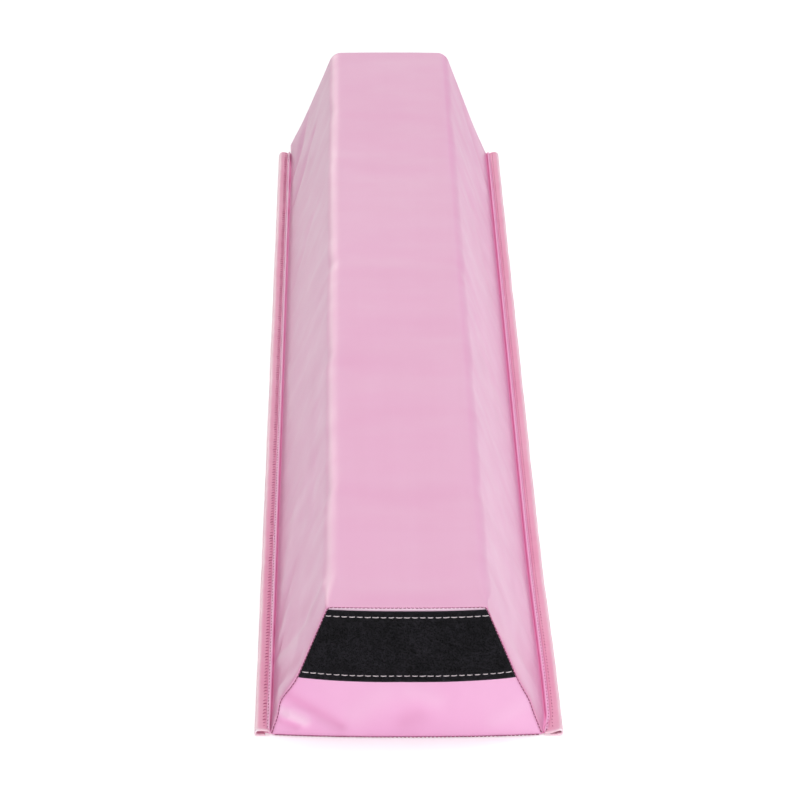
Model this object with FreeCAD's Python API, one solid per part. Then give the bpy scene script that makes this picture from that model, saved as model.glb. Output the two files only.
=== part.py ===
import FreeCAD, Part
import math
import os

# A floor balance beam: one straight section of foam in a sewn vinyl cover.
# X runs across the beam, Y along it and Z up. The origin is on the floor under the middle.
# The loop end is at -Y, the hook end at +Y, and left is -X. All sizes are in millimetres.

# The whole section
length = 1200.0  # over the two end panels
height = 90.0  # floor to walking surface
top_width = 102.0  # walking surface, between the planes of the sides
base_width = 176.0  # foot of one side to foot of the other, at the floor
edge_radius = 10.0  # long top edges, outside

# Cover and core
vinyl = 1.0  # cover sheet with its knit backing
ease = 0.3  # room between the cover and what lies inside it
seam_allowance = 8.0  # edge of an end panel, turned in and sewn to the wrap
seam_step = 0.5  # an end panel's edge stays this far inside the wrap's outer face
seam_thread = 0.4  # thread diameter in the end seams
foot_round = 3.0  # bend of the seam thread at the two lower corners
lower_plank = 43.0  # thickness of the lower foam plank

# Sewn flanges along the two lower edges
flange_reach = 10.5  # foot of the side to the outer fold of the binding
binding_vinyl = 0.8
binding_width = 5.0
binding_step = 1.5  # run over which the sheets rise on to the binding
binding_row = 1.0  # stitch row to the binding's inner edge
strand_width = 0.6
strand_height = 0.4

# Hook and loop strips on the ends
strip_height = 48.0
strip_drop = 3.0  # walking surface to the strip's upper edge
strip_thickness = 1.6
strip_gap = 0.6  # strip to the edge of the end panel
strip_row = 3.2  # stitch row to the strip's edge

# Zip in the base sheet
slot_width = 16.0
slot_margin = 55.0  # end of the slot to the end of the beam
hem_width = 7.0  # sheet turned back round the slot
hem_lift = 0.6  # the hem stands this far off the floor
tape_thickness = 0.5
tape_gap = 2.0  # between the two tapes
tape_flat = 4.2  # width of the raised flat of each tape
tape_overlap = 6.0  # width of tape sewn to the hem
tape_beyond = 15.0  # tapes past the end of the slot
coil_width = 2.5
coil_thickness = 1.7
coil_gap = 1.4
coil_beyond = 2.0  # coils past the slider's outer end when the zip is closed
hem_row = 3.0  # stitch row to the edge of the slot

# Slider and pull
slider_length = 12.0
slider_lip = 0.3  # plates past the rails
slider_plate = 0.8
slider_play = 0.4  # slider plates to coils and tapes
rail_width = 0.8
rail_play = 0.3  # rails and post to the coils
post_length = 3.0
bridge_width = 1.5
bridge_setback = 2.1  # bridge to each end of the slider
bridge_bar = 0.9
bridge_leg = 0.8
bridge_gap = 1.4  # bar to plate
bridge_lift = 0.8  # floor to bar
pull_thickness = 0.8
pull_length = 24.0  # hinge line to tip
pull_arm = 1.5  # width of metal each side of the eye
pull_play = 0.75  # bridge to each arm
pull_swing_room = 1.1  # tab to the bridge's end
pull_end_play = 6.0  # tip to the end of the slot with the pull swung over
pull_hole = 3.2
stop_length = 4.0
stop_wall = 0.6

# Places that follow from those sizes
slope = (base_width - top_width) / 2 / height
half_length = length / 2
sheet_end = half_length - vinyl
flange_edge = base_width / 2 + flange_reach
binding_edge = flange_edge - binding_width
sheet_edge = flange_edge - binding_vinyl
band_edge = binding_edge - binding_step
binding_top = 2 * binding_vinyl + 2 * vinyl
strip_top = height - strip_drop
strip_bottom = strip_top - strip_height
hem_top = hem_lift + 2 * vinyl
hem_edge = slot_width / 2 + hem_width
plate_face = bridge_lift + bridge_bar + bridge_gap
outer_plate = plate_face + slider_plate
coil_bottom = outer_plate + slider_play
tape_plane = coil_bottom + coil_thickness
tape_inner = tape_gap / 2
tape_bend = tape_inner + tape_flat
tape_outer = hem_edge
tape_rise = tape_outer - tape_overlap
tape_top = tape_plane + tape_thickness
coil_inner = coil_gap / 2
coil_outer = coil_inner + coil_width
inner_plate = tape_top + slider_play
pull_axis = plate_face - bridge_gap / 2
groove_half = hem_edge + vinyl + ease
groove_top = inner_plate + 2 * slider_plate
rail_inner = coil_outer + rail_play
slider_half = rail_inner + rail_width + slider_lip
bridge_half = slider_length / 2 - bridge_setback
slot_end = half_length - slot_margin
tape_end = slot_end + tape_beyond
closed_at = slot_end - pull_end_play - pull_length
coil_end = closed_at + slider_length / 2 + coil_beyond
post_half = coil_inner - rail_play

os.makedirs("parts", exist_ok=True)


def vec(x, y, z):
    return FreeCAD.Vector(x, y, z)


def half_width(z, inset=0.0):
    """Half the body's width at height z, inside its sides by inset."""
    return base_width / 2 - slope * z - inset * math.hypot(1, slope)


def corner_arc(before, corner, after, radius):
    """The arc that rounds a corner, with its two tangent points."""
    back = (before - corner).normalize()
    ahead = (after - corner).normalize()
    half_angle = back.getAngle(ahead) / 2
    middle = (back + ahead).normalize()
    start = corner + back * (radius / math.tan(half_angle))
    end = corner + ahead * (radius / math.tan(half_angle))
    top = corner + middle * (radius / math.sin(half_angle) - radius)
    return start, Part.Arc(start, top, end).toShape(), end


def outline(corners, closed=True):
    """A wire in the XZ plane through corners given as (x, z, radius)."""
    places = [vec(x, 0, z) for x, z, radius in corners]
    edges = []
    joints = []
    for i, (x, z, radius) in enumerate(corners):
        inside = closed or 0 < i < len(corners) - 1
        if radius > 0 and inside:
            after = places[(i + 1) % len(places)]
            joints.append(corner_arc(places[i - 1], places[i], after, radius))
        else:
            joints.append((places[i], None, places[i]))
    for i, (start, arc, end) in enumerate(joints):
        if arc is not None:
            edges.append(arc)
        if closed or i < len(joints) - 1:
            edges.append(Part.makeLine(end, joints[(i + 1) % len(joints)][0]))
    return Part.Wire(edges)


def along(corners, start, end):
    """A solid of an XZ outline, run along Y from start to end."""
    face = Part.Face(outline(corners))
    face.translate(vec(0, start, 0))
    return face.extrude(vec(0, end - start, 0))


def block(x0, x1, y0, y1, z0, z1):
    return Part.makeBox(x1 - x0, y1 - y0, z1 - z0, vec(x0, y0, z0))


def body(inset, floor, start, end):
    """The body's section, smaller by inset all round, run along Y."""
    top = height - inset
    radius = edge_radius - inset
    corners = [
        (-half_width(floor, inset), floor, 0),
        (half_width(floor, inset), floor, 0),
        (half_width(top, inset), top, radius),
        (-half_width(top, inset), top, radius),
    ]
    return along(corners, start, end)


def mirrored(corners):
    """The same outline on the other side of the beam."""
    return [(-x, z, radius) for x, z, radius in reversed(corners)]


def turned(shape):
    """The same shape at the other end of the beam."""
    return shape.mirror(vec(0, 0, 0), vec(0, 1, 0))


def save(shape, node):
    shape.exportStep("parts/" + node + ".step")


# Sewn cover

def flange_layer(lift):
    """The outer margin of a cover sheet, which steps up on to the binding's lower leg."""
    raised = lift + binding_vinyl
    return [
        (half_width(lift) - vinyl, lift, 0),
        (band_edge, lift, 0),
        (binding_edge, raised, 0),
        (sheet_edge, raised, 0),
        (sheet_edge, raised + vinyl, 0),
        (binding_edge, raised + vinyl, 0),
        (band_edge, lift + vinyl, 0),
        (half_width(lift) - vinyl, lift + vinyl, 0),
    ]


def cover_wrap():
    """One sheet over both sides and the top, its two margins turned out flat."""
    wrap = body(0, vinyl, -sheet_end, sheet_end)
    wrap = wrap.cut(body(vinyl, 0, -length, length))
    margin = flange_layer(vinyl)
    wrap = wrap.fuse(along(margin, -sheet_end, sheet_end))
    wrap = wrap.fuse(along(mirrored(margin), -sheet_end, sheet_end))
    return wrap.removeSplitter()


def cover_base():
    """The sheet under the core, hemmed round the slot for the zip."""
    middle = block(-band_edge, band_edge, -sheet_end, sheet_end, 0, vinyl)
    margin = flange_layer(0)
    sheet = middle.fuse(along(margin, -sheet_end, sheet_end))
    sheet = sheet.fuse(along(mirrored(margin), -sheet_end, sheet_end))
    pad_x = hem_edge + vinyl
    pad_y = slot_end + hem_width + vinyl
    sheet = sheet.fuse(block(-pad_x, pad_x, -pad_y, pad_y, hem_lift, hem_top))
    under_x = pad_x - vinyl
    under_y = pad_y - vinyl
    sheet = sheet.cut(block(-under_x, under_x, -under_y, under_y, -vinyl, hem_lift))
    slot_x = slot_width / 2
    slot = block(-slot_x, slot_x, -slot_end, slot_end, -vinyl, hem_top + vinyl)
    return sheet.cut(slot).removeSplitter()


def cover_end():
    """The panel of the loop end, with its allowance turned in along the wrap."""
    panel = body(seam_step, seam_step, -half_length, -sheet_end)
    rim_inset = vinyl + ease
    rim_end = -sheet_end + seam_allowance
    rim = body(rim_inset, rim_inset, -sheet_end, rim_end)
    rim = rim.cut(body(rim_inset + vinyl, rim_inset + vinyl, -half_length, rim_end + vinyl))
    return panel.fuse(rim).removeSplitter()


def binding(side):
    """The folded strip that closes a flange's raw edges; side is 1 right, -1 left."""
    fold = binding_top / 2 - ease / 2
    outer = [
        (binding_edge, 0, 0),
        (flange_edge, 0, fold),
        (flange_edge, binding_top, fold),
        (binding_edge, binding_top, 0),
    ]
    inner = [
        (band_edge, binding_vinyl, 0),
        (sheet_edge, binding_vinyl, 0),
        (sheet_edge, binding_top - binding_vinyl, 0),
        (band_edge, binding_top - binding_vinyl, 0),
    ]
    if side < 0:
        outer = mirrored(outer)
        inner = mirrored(inner)
    strip = along(outer, -half_length, half_length)
    return strip.cut(along(inner, -length, length))


# Foam core

def core(floor, roof):
    """A plank of the core, thinner at its ends to make room for the turned-in seams."""
    full_end = sheet_end - seam_allowance - ease
    end_inset = 2 * (vinyl + ease)
    plank = body(vinyl + ease, vinyl, -full_end, full_end)
    plank = plank.fuse(body(end_inset, end_inset, -sheet_end + ease, sheet_end - ease))
    plank = plank.common(block(-base_width, base_width, -length, length, floor, roof))
    return plank.removeSplitter()


def core_lower():
    plank = core(vinyl, vinyl + lower_plank)
    groove_end = tape_end + ease
    groove = block(-groove_half, groove_half, -groove_end, groove_end, 0, groove_top)
    return plank.cut(groove)


def core_upper():
    return core(vinyl + lower_plank, height)


# Hook and loop strips with their stitching

def strip_rows():
    return [strip_top - strip_row, strip_bottom + strip_row]


def strip_strands():
    """The two rows of thread that hold a strip, sunk level with its face."""
    face = -half_length - strip_thickness
    rows = []
    for z in strip_rows():
        reach = half_width(z, seam_step + strip_gap) - strand_width
        half = strand_width / 2
        rows.append(block(-reach, reach, face, face + strand_height, z - half, z + half))
    return Part.makeCompound(rows)


def end_strip():
    """The strip on the loop end's panel, from one slanted seam to the other."""
    face = -half_length - strip_thickness
    strip = body(seam_step + strip_gap, 0, face, -half_length)
    band = block(-base_width, base_width, face, -half_length, strip_bottom, strip_top)
    return strip.common(band).cut(strip_strands())


# Threads

def end_seam():
    """The thread line round the loop end, in the step between panel and wrap."""
    inset = seam_step / 2
    centre = -half_length + vinyl / 2
    top = height - inset
    turn = edge_radius - inset
    foot = 2 * vinyl
    corners = [
        (-half_width(foot, inset), foot, 0),
        (-half_width(top, inset), top, turn),
        (half_width(top, inset), top, turn),
        (half_width(foot, inset), foot, 0),
    ]
    path = outline(corners, closed=False)
    path.translate(vec(0, centre, 0))
    start = path.Vertexes[0].Point
    section = Part.Wire(Part.makeCircle(seam_thread / 2, start, vec(slope, 0, 1)))
    over = path.makePipeShell([section], True, False)
    reach = half_width(inset, inset) - foot_round
    under = Part.makeCylinder(seam_thread / 2, 2 * reach, vec(-reach, centre, inset), vec(1, 0, 0))
    return Part.makeCompound([over, under])


def flange_strands(side):
    """The outer row on the binding and the inner row on the band beside it."""
    half = strand_width / 2
    outer_x = side * (binding_edge + binding_row)
    inner_x = side * (base_width / 2 + band_edge) / 2
    inner_z = 2 * vinyl
    rows = [
        block(outer_x - half, outer_x + half, -sheet_end, sheet_end,
              binding_top, binding_top + strand_height),
        block(inner_x - half, inner_x + half, -sheet_end, sheet_end,
              inner_z, inner_z + strand_height),
    ]
    return Part.makeCompound(rows)


def hem_strands():
    """The rows that sew the two tapes to the hem, on its floor side."""
    half = strand_width / 2
    low = hem_lift - strand_height
    rows = []
    for side in (-1, 1):
        x = side * (slot_width / 2 + hem_row)
        rows.append(block(x - half, x + half, -slot_end, slot_end, low, hem_lift))
    return Part.makeCompound(rows)


# Zip

def tape_section(side):
    """A tape rises from the hem to the raised flat that carries the coil."""
    thick = tape_thickness
    corners = [
        (tape_outer, hem_top, 0),
        (tape_outer, hem_top + thick, 0),
        (tape_rise + thick / 2, hem_top + thick, 0),
        (tape_bend, tape_top, 0),
        (tape_inner, tape_top, 0),
        (tape_inner, tape_plane, 0),
        (tape_bend, tape_plane, 0),
        (tape_rise, hem_top, 0),
    ]
    return corners if side > 0 else mirrored(corners)


def zip_tape(side):
    return along(tape_section(side), -tape_end, tape_end)


def zip_coil(side):
    """The row of teeth on a tape, as one bar with rounded outer corners."""
    bend = coil_thickness / 3
    corners = [
        (coil_inner, coil_bottom, bend),
        (coil_outer, coil_bottom, bend),
        (coil_outer, tape_plane, 0),
        (coil_inner, tape_plane, 0),
    ]
    if side < 0:
        corners = mirrored(corners)
    return along(corners, -coil_end, coil_end)


def stop_clamp(x0, x1, start):
    """A stop clamped round the inner edges of the tapes."""
    clamp = block(x0, x1, start, start + stop_length, coil_bottom, tape_top + stop_wall)
    for side in (-1, 1):
        clamp = clamp.cut(along(tape_section(side), start - stop_length, start + 2 * stop_length))
    return clamp


def top_stops():
    start = coil_end + ease
    return Part.makeCompound([
        stop_clamp(post_half, coil_outer, start),
        stop_clamp(-coil_outer, -post_half, start),
    ])


def bottom_stop():
    return stop_clamp(-coil_outer, coil_outer, -coil_end - ease - stop_length)


def plate(low):
    """A plate of the slider, rounded at its corners."""
    half_y = slider_length / 2
    sheet = block(-slider_half, slider_half, closed_at - half_y, closed_at + half_y, low, low + slider_plate)
    upright = [e for e in sheet.Edges if abs(e.Vertexes[0].Z - e.Vertexes[-1].Z) > slider_plate / 2]
    return sheet.makeFillet(2 * slider_plate, upright)


def slider():
    """Two plates joined by a post, with rails beside the coils and a bridge for the pull."""
    half_y = slider_length / 2
    shape = plate(outer_plate - slider_plate).fuse(plate(inner_plate))
    post_end = closed_at + half_y - slider_plate
    post = block(-post_half, post_half, post_end - post_length, post_end, outer_plate, inner_plate)
    shape = shape.fuse(post)
    rail_y = half_y - 2 * slider_plate
    rail_top = tape_plane - slider_play
    for x0 in (rail_inner, -rail_inner - rail_width):
        rail = block(x0, x0 + rail_width, closed_at - rail_y, closed_at + rail_y, outer_plate, rail_top)
        shape = shape.fuse(rail)
    bridge_x = bridge_width / 2
    bridge = block(-bridge_x, bridge_x, closed_at - bridge_half, closed_at + bridge_half,
                   bridge_lift, plate_face)
    eye_y = bridge_half - bridge_leg
    eye = block(-bridge_x, bridge_x, closed_at - eye_y, closed_at + eye_y,
                plate_face - bridge_gap, plate_face)
    return shape.fuse(bridge.cut(eye)).removeSplitter()


def pull():
    """A flat tab whose eye hangs in the slider's bridge; it lies towards the closed teeth."""
    half = pull_thickness / 2
    low = pull_axis - half
    eye_half = bridge_width / 2 + pull_play
    tab_half = eye_half + pull_arm
    tab = block(-tab_half, tab_half, closed_at - pull_length, closed_at + half,
                low, low + pull_thickness)
    upright = [e for e in tab.Edges if abs(e.Vertexes[0].Z - e.Vertexes[-1].Z) > half]
    far = [e for e in upright if e.Vertexes[0].Y < closed_at - pull_length / 2]
    tab = tab.makeFillet(tab_half / 2, far)
    eye_end = closed_at - bridge_half - pull_swing_room
    eye = block(-eye_half, eye_half, eye_end, closed_at - half, low - half, low + 2 * pull_thickness)
    grip_y = closed_at - pull_length + pull_hole
    hole = Part.makeCylinder(pull_hole / 2, 3 * pull_thickness, vec(0, grip_y, low - pull_thickness))
    tab = tab.cut(eye).cut(hole)
    ends = [e for e in tab.Edges
            if abs(e.Vertexes[0].X - e.Vertexes[-1].X) > tab_half
            and min(v.Y for v in e.Vertexes) > closed_at]
    return tab.makeFillet(half * 0.9, ends)


save(core_lower(), "foam_core_lower")
save(core_upper(), "foam_core_upper")
save(cover_wrap(), "cover_wrap")
save(cover_base(), "cover_base")
save(cover_end(), "cover_end_loop")
save(turned(cover_end()), "cover_end_hook")
save(end_strip(), "loop_strip")
save(turned(end_strip()), "hook_strip")
save(strip_strands(), "loop_strip_stitching")
save(turned(strip_strands()), "hook_strip_stitching")
save(end_seam(), "end_seam_thread_loop")
save(turned(end_seam()), "end_seam_thread_hook")
for name, side in (("left", -1), ("right", 1)):
    save(binding(side), "binding_" + name)
    save(flange_strands(side), "flange_stitching_" + name)
    save(zip_tape(side), "zip_tape_" + name)
    save(zip_coil(side), "zip_coil_" + name)
save(hem_strands(), "zip_stitching")
save(top_stops(), "zip_top_stops")
save(bottom_stop(), "zip_bottom_stop")
save(slider(), "zip_slider")
save(pull(), "zip_pull")
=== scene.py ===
"""Soft floor balance beam, one 4 ft section: sewn cover, strips, zip and core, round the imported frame.

Metres, in the frame of the CAD: X across, Y along from the loop end to the hook end, Z up, and the
origin on the floor under the middle.
"""

import logging
import math
from dataclasses import dataclass, field
from enum import Enum
from functools import cache

import bpy
import numpy as np
from mathutils import Matrix, Vector


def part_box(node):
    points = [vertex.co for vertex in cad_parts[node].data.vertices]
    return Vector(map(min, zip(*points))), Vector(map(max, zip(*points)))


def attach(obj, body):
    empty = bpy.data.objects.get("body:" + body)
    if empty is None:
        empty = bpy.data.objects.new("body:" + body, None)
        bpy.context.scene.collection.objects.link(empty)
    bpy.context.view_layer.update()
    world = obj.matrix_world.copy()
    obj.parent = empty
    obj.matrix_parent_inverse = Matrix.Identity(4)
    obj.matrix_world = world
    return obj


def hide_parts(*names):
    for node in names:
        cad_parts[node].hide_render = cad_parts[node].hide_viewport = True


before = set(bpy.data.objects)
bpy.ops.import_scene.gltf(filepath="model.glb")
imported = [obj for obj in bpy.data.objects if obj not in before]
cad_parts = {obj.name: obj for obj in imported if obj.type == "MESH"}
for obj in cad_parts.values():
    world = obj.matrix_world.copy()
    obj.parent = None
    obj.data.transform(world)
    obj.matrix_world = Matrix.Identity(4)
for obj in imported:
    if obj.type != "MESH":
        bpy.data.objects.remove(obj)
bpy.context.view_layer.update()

LOG = logging.getLogger("beam")
MM = 0.001
BODY = "beam"
WHITE = (1.0, 1.0, 1.0, 1.0)
UP = (0.0, 0.0, 1.0)
STEPS_A_TURN = 10

Array = np.ndarray
Colour = tuple[float, float, float, float]
Place = tuple[float, float, float]
Tree = bpy.types.NodeTree
Socket = bpy.types.NodeSocket
Material = bpy.types.Material
Object = bpy.types.Object
Mesh = bpy.types.Mesh
Feed = Socket | float | tuple | Vector


class End(Enum):
    """The two ends of the section, by the way they face along Y."""

    LOOP = -1
    HOOK = 1


class Side(Enum):
    """The two long sides, by their sign on X."""

    LEFT = -1
    RIGHT = 1


class Face(Enum):
    """A face of the cover that a fold lies on."""

    LEFT = -1
    TOP = 0
    RIGHT = 1


# Small tools


def srgb(red: float, green: float, blue: float) -> Colour:
    """Linear colour from a paint card's 0 to 255 values.

    Args:
        red: red of the card.
        green: green of the card.
        blue: blue of the card.

    Returns:
        Linear red, green, blue and an alpha of 1.
    """
    shares = [value / 255 for value in (red, green, blue)]
    linear = [s / 12.92 if s <= 0.04045 else ((s + 0.055) / 1.055) ** 2.4 for s in shares]
    return (*linear, 1.0)


def smoothstep(low: float, high: float, value: Array) -> Array:
    """Eased step from 0 at low to 1 at high.

    Args:
        low: where the step starts.
        high: where it ends.
        value: the values to judge.

    Returns:
        The eased share for each value.
    """
    share = np.clip((value - low) / (high - low), 0, 1)
    return share * share * (3 - 2 * share)


def bell(value: Array, width: float) -> Array:
    """Bell curve of height 1, down to 0.37 at its width."""
    return np.exp(-((value / width) ** 2))


def through(points: list[tuple[float, ...]], cells: int) -> Array:
    """Smooth line through points, at even steps.

    Args:
        points: corners that the line passes through.
        cells: how many steps it is cut into.

    Returns:
        An array of cells + 1 points.
    """
    given = np.array(points, float)
    padded = np.vstack([2 * given[0] - given[1], given, 2 * given[-1] - given[-2]])
    fine = []
    for i in range(len(given) - 1):
        a, b, c, d = padded[i : i + 4]
        t = np.linspace(0, 1, 24, endpoint=False)[:, None]
        fine.append(0.5 * (2 * b + (c - a) * t + (2 * a - 5 * b + 4 * c - d) * t**2
                           + (3 * b - a - 3 * c + d) * t**3))
    line = np.vstack([*fine, given[-1:]])
    run = np.concatenate([[0], np.cumsum(np.linalg.norm(np.diff(line, axis=0), axis=1))])
    at = np.linspace(0, run[-1], cells + 1)
    return np.stack([np.interp(at, run, line[:, k]) for k in range(line.shape[1])], axis=1)


def swell(u: Array, v: Array, seed: int, short: float, long: float, lean: float,
          spread: float) -> Array:
    """Uneven waves from a handful of crossing ones.

    Args:
        u: place across.
        v: place along.
        seed: start of the draw.
        short: shortest wave.
        long: longest wave.
        lean: usual direction of travel, in radians from u.
        spread: how far the directions scatter.

    Returns:
        Heights, mostly between -1 and 1.
    """
    draw = np.random.default_rng(seed)
    total = np.zeros(np.broadcast(u, v).shape)
    count = 14
    for _ in range(count):
        length = draw.uniform(short, long)
        way = draw.normal(lean, spread)
        phase = draw.uniform(0, 2 * math.pi)
        total = total + np.sin(2 * math.pi * (u * math.cos(way) + v * math.sin(way)) / length + phase)
    return total / math.sqrt(2 * count)


def grid_faces(rows: int, columns: int, keep: Array | None = None) -> Array:
    """Corner numbers of a grid's four-sided faces.

    Args:
        rows: points along.
        columns: points across.
        keep: which faces to keep, as (rows - 1, columns - 1) truths, or None for all.

    Returns:
        One row of four corner numbers for each face.
    """
    index = np.arange(rows * columns).reshape(rows, columns)
    quads = np.stack([index[:-1, :-1], index[:-1, 1:], index[1:, 1:], index[1:, :-1]], axis=-1)
    return quads[keep] if keep is not None else quads.reshape(-1, 4)


def new_object(name: str, mesh: Mesh) -> Object:
    """Puts a mesh into the scene as a smooth-shaded object.

    Args:
        name: name of the object and its mesh.
        mesh: the finished mesh.

    Returns:
        The object, at the origin.
    """
    mesh.name = name
    obj = bpy.data.objects.new(name, mesh)
    bpy.context.scene.collection.objects.link(obj)
    mesh.shade_smooth()
    return obj


def sheet_mesh(name: str, points: Array, keep: Array | None = None, flip: bool = False,
               tint: Array | None = None) -> Object:
    """Makes an object from a grid of points.

    Args:
        name: name of the object.
        points: (rows, columns, 3) places.
        keep: which faces stay, or None for all.
        flip: turns the faces over.
        tint: value of each point for the materials, (rows, columns), pale below 0 and deep above; it carries
            painted highlight and painted shade.

    Returns:
        The new object.
    """
    rows, columns = points.shape[:2]
    faces = grid_faces(rows, columns, keep)
    if flip:
        faces = faces[:, ::-1]
    used, numbers = np.unique(faces, return_inverse=True)
    mesh = bpy.data.meshes.new(name)
    mesh.from_pydata(points.reshape(-1, 3)[used].tolist(), [], numbers.reshape(-1, 4).tolist())
    if tint is not None:
        layer = mesh.attributes.new("tint", "FLOAT", "POINT")
        layer.data.foreach_set("value", tint.astype(np.float32).ravel()[used])
    mesh.update()
    return new_object(name, mesh)


def settle_modifiers(obj: Object) -> Object:
    """Bakes an object's modifiers into its mesh.

    Args:
        obj: the object with live modifiers.

    Returns:
        The same object, plain.
    """
    graph = bpy.context.evaluated_depsgraph_get()
    mesh = bpy.data.meshes.new_from_object(obj.evaluated_get(graph))
    obj.modifiers.clear()
    old = obj.data
    obj.data = mesh
    bpy.data.meshes.remove(old)
    mesh.name = obj.name
    return obj


def thicken(obj: Object, thickness: float) -> Object:
    """Gives an open sheet its thickness, inwards from the face that is seen.

    Args:
        obj: the sheet.
        thickness: wall in metres.

    Returns:
        The same object, now a closed shell.
    """
    wall = obj.modifiers.new("wall", "SOLIDIFY")
    wall.thickness = thickness
    wall.offset = -1
    wall.use_even_offset = False
    return settle_modifiers(obj)


def joined(name: str, parts: list[Object]) -> Object:
    """Joins objects into the first of them.

    Args:
        name: name of the result.
        parts: the objects, which all have plain meshes.

    Returns:
        The joined object.
    """
    with bpy.context.temp_override(active_object=parts[0], object=parts[0], selected_objects=parts,
                                   selected_editable_objects=parts):
        bpy.ops.object.join()
    parts[0].name = name
    parts[0].data.name = name
    return parts[0]


def dress(obj: Object, material: Material, slot: str, nodes: list[str]) -> Object:
    """Gives a piece its material and body, and hides the frame's nodes that it stands for.

    Args:
        obj: the piece.
        material: its finish.
        slot: name of a material slot; not used.
        nodes: the frame's nodes that it replaces.

    Returns:
        The same piece.
    """
    obj.data.materials.clear()
    obj.data.materials.append(material)
    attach(obj, BODY)
    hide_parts(*nodes)
    LOG.info("%s: %d faces", obj.name, len(obj.data.polygons))
    return obj


# Node trees


def add(tree: Tree, kind: str, inputs: dict | None = None, **settings: object) -> bpy.types.Node:
    """Adds a node, with its settings and inputs.

    Args:
        tree: the tree it goes into.
        kind: the node's type name.
        inputs: values or output sockets by input name or number.
        settings: attributes of the node itself.

    Returns:
        The node.
    """
    node = tree.nodes.new(kind)
    for name, value in settings.items():
        setattr(node, name, value)
    for key, value in (inputs or {}).items():
        if isinstance(value, Socket):
            tree.links.new(value, node.inputs[key])
        else:
            node.inputs[key].default_value = value
    return node


def mixed(tree: Tree, share: Feed, first: Feed, second: Feed) -> Socket:
    """Mixes two colours.

    Args:
        tree: the material's tree.
        share: how much of the second, a number or a socket.
        first: colour or socket.
        second: colour or socket.

    Returns:
        The mixed colour's socket.
    """
    return add(tree, "ShaderNodeMix", {0: share, 6: first, 7: second}, data_type="RGBA").outputs[2]


def ranged(tree: Tree, value: Feed, low: float, high: float, start: float, stop: float) -> Socket:
    """Maps low to high on to start to stop, held at both ends.

    Args:
        tree: the material's tree.
        value: the socket to map.
        low: input that gives start.
        high: input that gives stop.
        start: first result.
        stop: last result.

    Returns:
        The mapped value's socket.
    """
    return add(tree, "ShaderNodeMapRange", {0: value, 1: low, 2: high, 3: start, 4: stop}).outputs[0]


def maths(tree: Tree, operation: str, first: Feed, second: Feed = 0.0) -> Socket:
    """One sum of two numbers.

    Args:
        tree: any node tree.
        operation: the Math node's operation.
        first: number or socket.
        second: number or socket.

    Returns:
        The result's socket.
    """
    return add(tree, "ShaderNodeMath", {0: first, 1: second}, operation=operation).outputs[0]


@dataclass
class Shader:
    """A material being built, with its usual first and last nodes."""

    name: str
    material: Material = field(init=False)
    tree: Tree = field(init=False)
    surface: bpy.types.Node = field(init=False)
    place: Socket = field(init=False)

    def __post_init__(self) -> None:
        """Makes the empty material."""
        self.material = bpy.data.materials.new(self.name)
        self.material.use_nodes = True
        self.tree = self.material.node_tree
        self.tree.nodes.clear()
        self.surface = add(self.tree, "ShaderNodeBsdfPrincipled")
        add(self.tree, "ShaderNodeOutputMaterial", {"Surface": self.surface.outputs[0]})
        self.place = add(self.tree, "ShaderNodeTexCoord").outputs["Object"]

    def mix(self, share: Feed, first: Feed, second: Feed) -> Socket:
        """Mixes two colours, share of the second into the first."""
        return mixed(self.tree, share, first, second)

    def ramp(self, value: Feed, low: float, high: float, start: float, stop: float) -> Socket:
        """Maps low to high on to start to stop, held at both ends."""
        return ranged(self.tree, value, low, high, start, stop)

    def stretched(self, scale: Place) -> Socket:
        """The place on the piece, scaled on each axis."""
        return add(self.tree, "ShaderNodeMapping", {"Vector": self.place, "Scale": scale}).outputs[0]

    def noise(self, scale: float, detail: float = 2.0, place: Socket | None = None,
              rough: float = 0.5) -> Socket:
        """Soft noise between 0 and 1.

        Args:
            scale: waves to the metre.
            detail: octaves.
            place: where to read it, or None for the piece's own place.
            rough: share of the fine octaves.

        Returns:
            The noise value's socket.
        """
        inputs = {"Vector": place or self.place, "Scale": scale, "Detail": detail, "Roughness": rough}
        return add(self.tree, "ShaderNodeTexNoise", inputs).outputs[0]

    def cells(self, scale: float, feature: str = "F1") -> Socket:
        """Distance pattern of small cells."""
        inputs = {"Vector": self.place, "Scale": scale}
        return add(self.tree, "ShaderNodeTexVoronoi", inputs, feature=feature).outputs[0]

    def tint(self) -> Socket:
        """The tint that the mesh carries at its points: its painted highlight and painted shade."""
        node = add(self.tree, "ShaderNodeAttribute", attribute_name="tint", attribute_type="GEOMETRY")
        return node.outputs["Fac"]

    def bump(self, height: Socket, distance: float, before: Socket | None = None) -> Socket:
        """Turns a height into relief.

        Args:
            height: socket of the height, 0 to 1.
            distance: relief of a height of 1, in metres.
            before: relief to add it to.

        Returns:
            The normal's socket.
        """
        inputs = {"Height": height, "Distance": distance, "Strength": 1.0}
        if before is not None:
            inputs["Normal"] = before
        return add(self.tree, "ShaderNodeBump", inputs).outputs[0]

    def set(self, **values: object) -> Material:
        """Sets or links the surface's inputs, by name with _ for a space.

        Args:
            values: numbers, colours or sockets.

        Returns:
            The material.
        """
        for key, value in values.items():
            socket = self.surface.inputs[key.replace("_", " ")]
            if isinstance(value, Socket):
                self.tree.links.new(value, socket)
            else:
                socket.default_value = value
        return self.material


# Finishes


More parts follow.
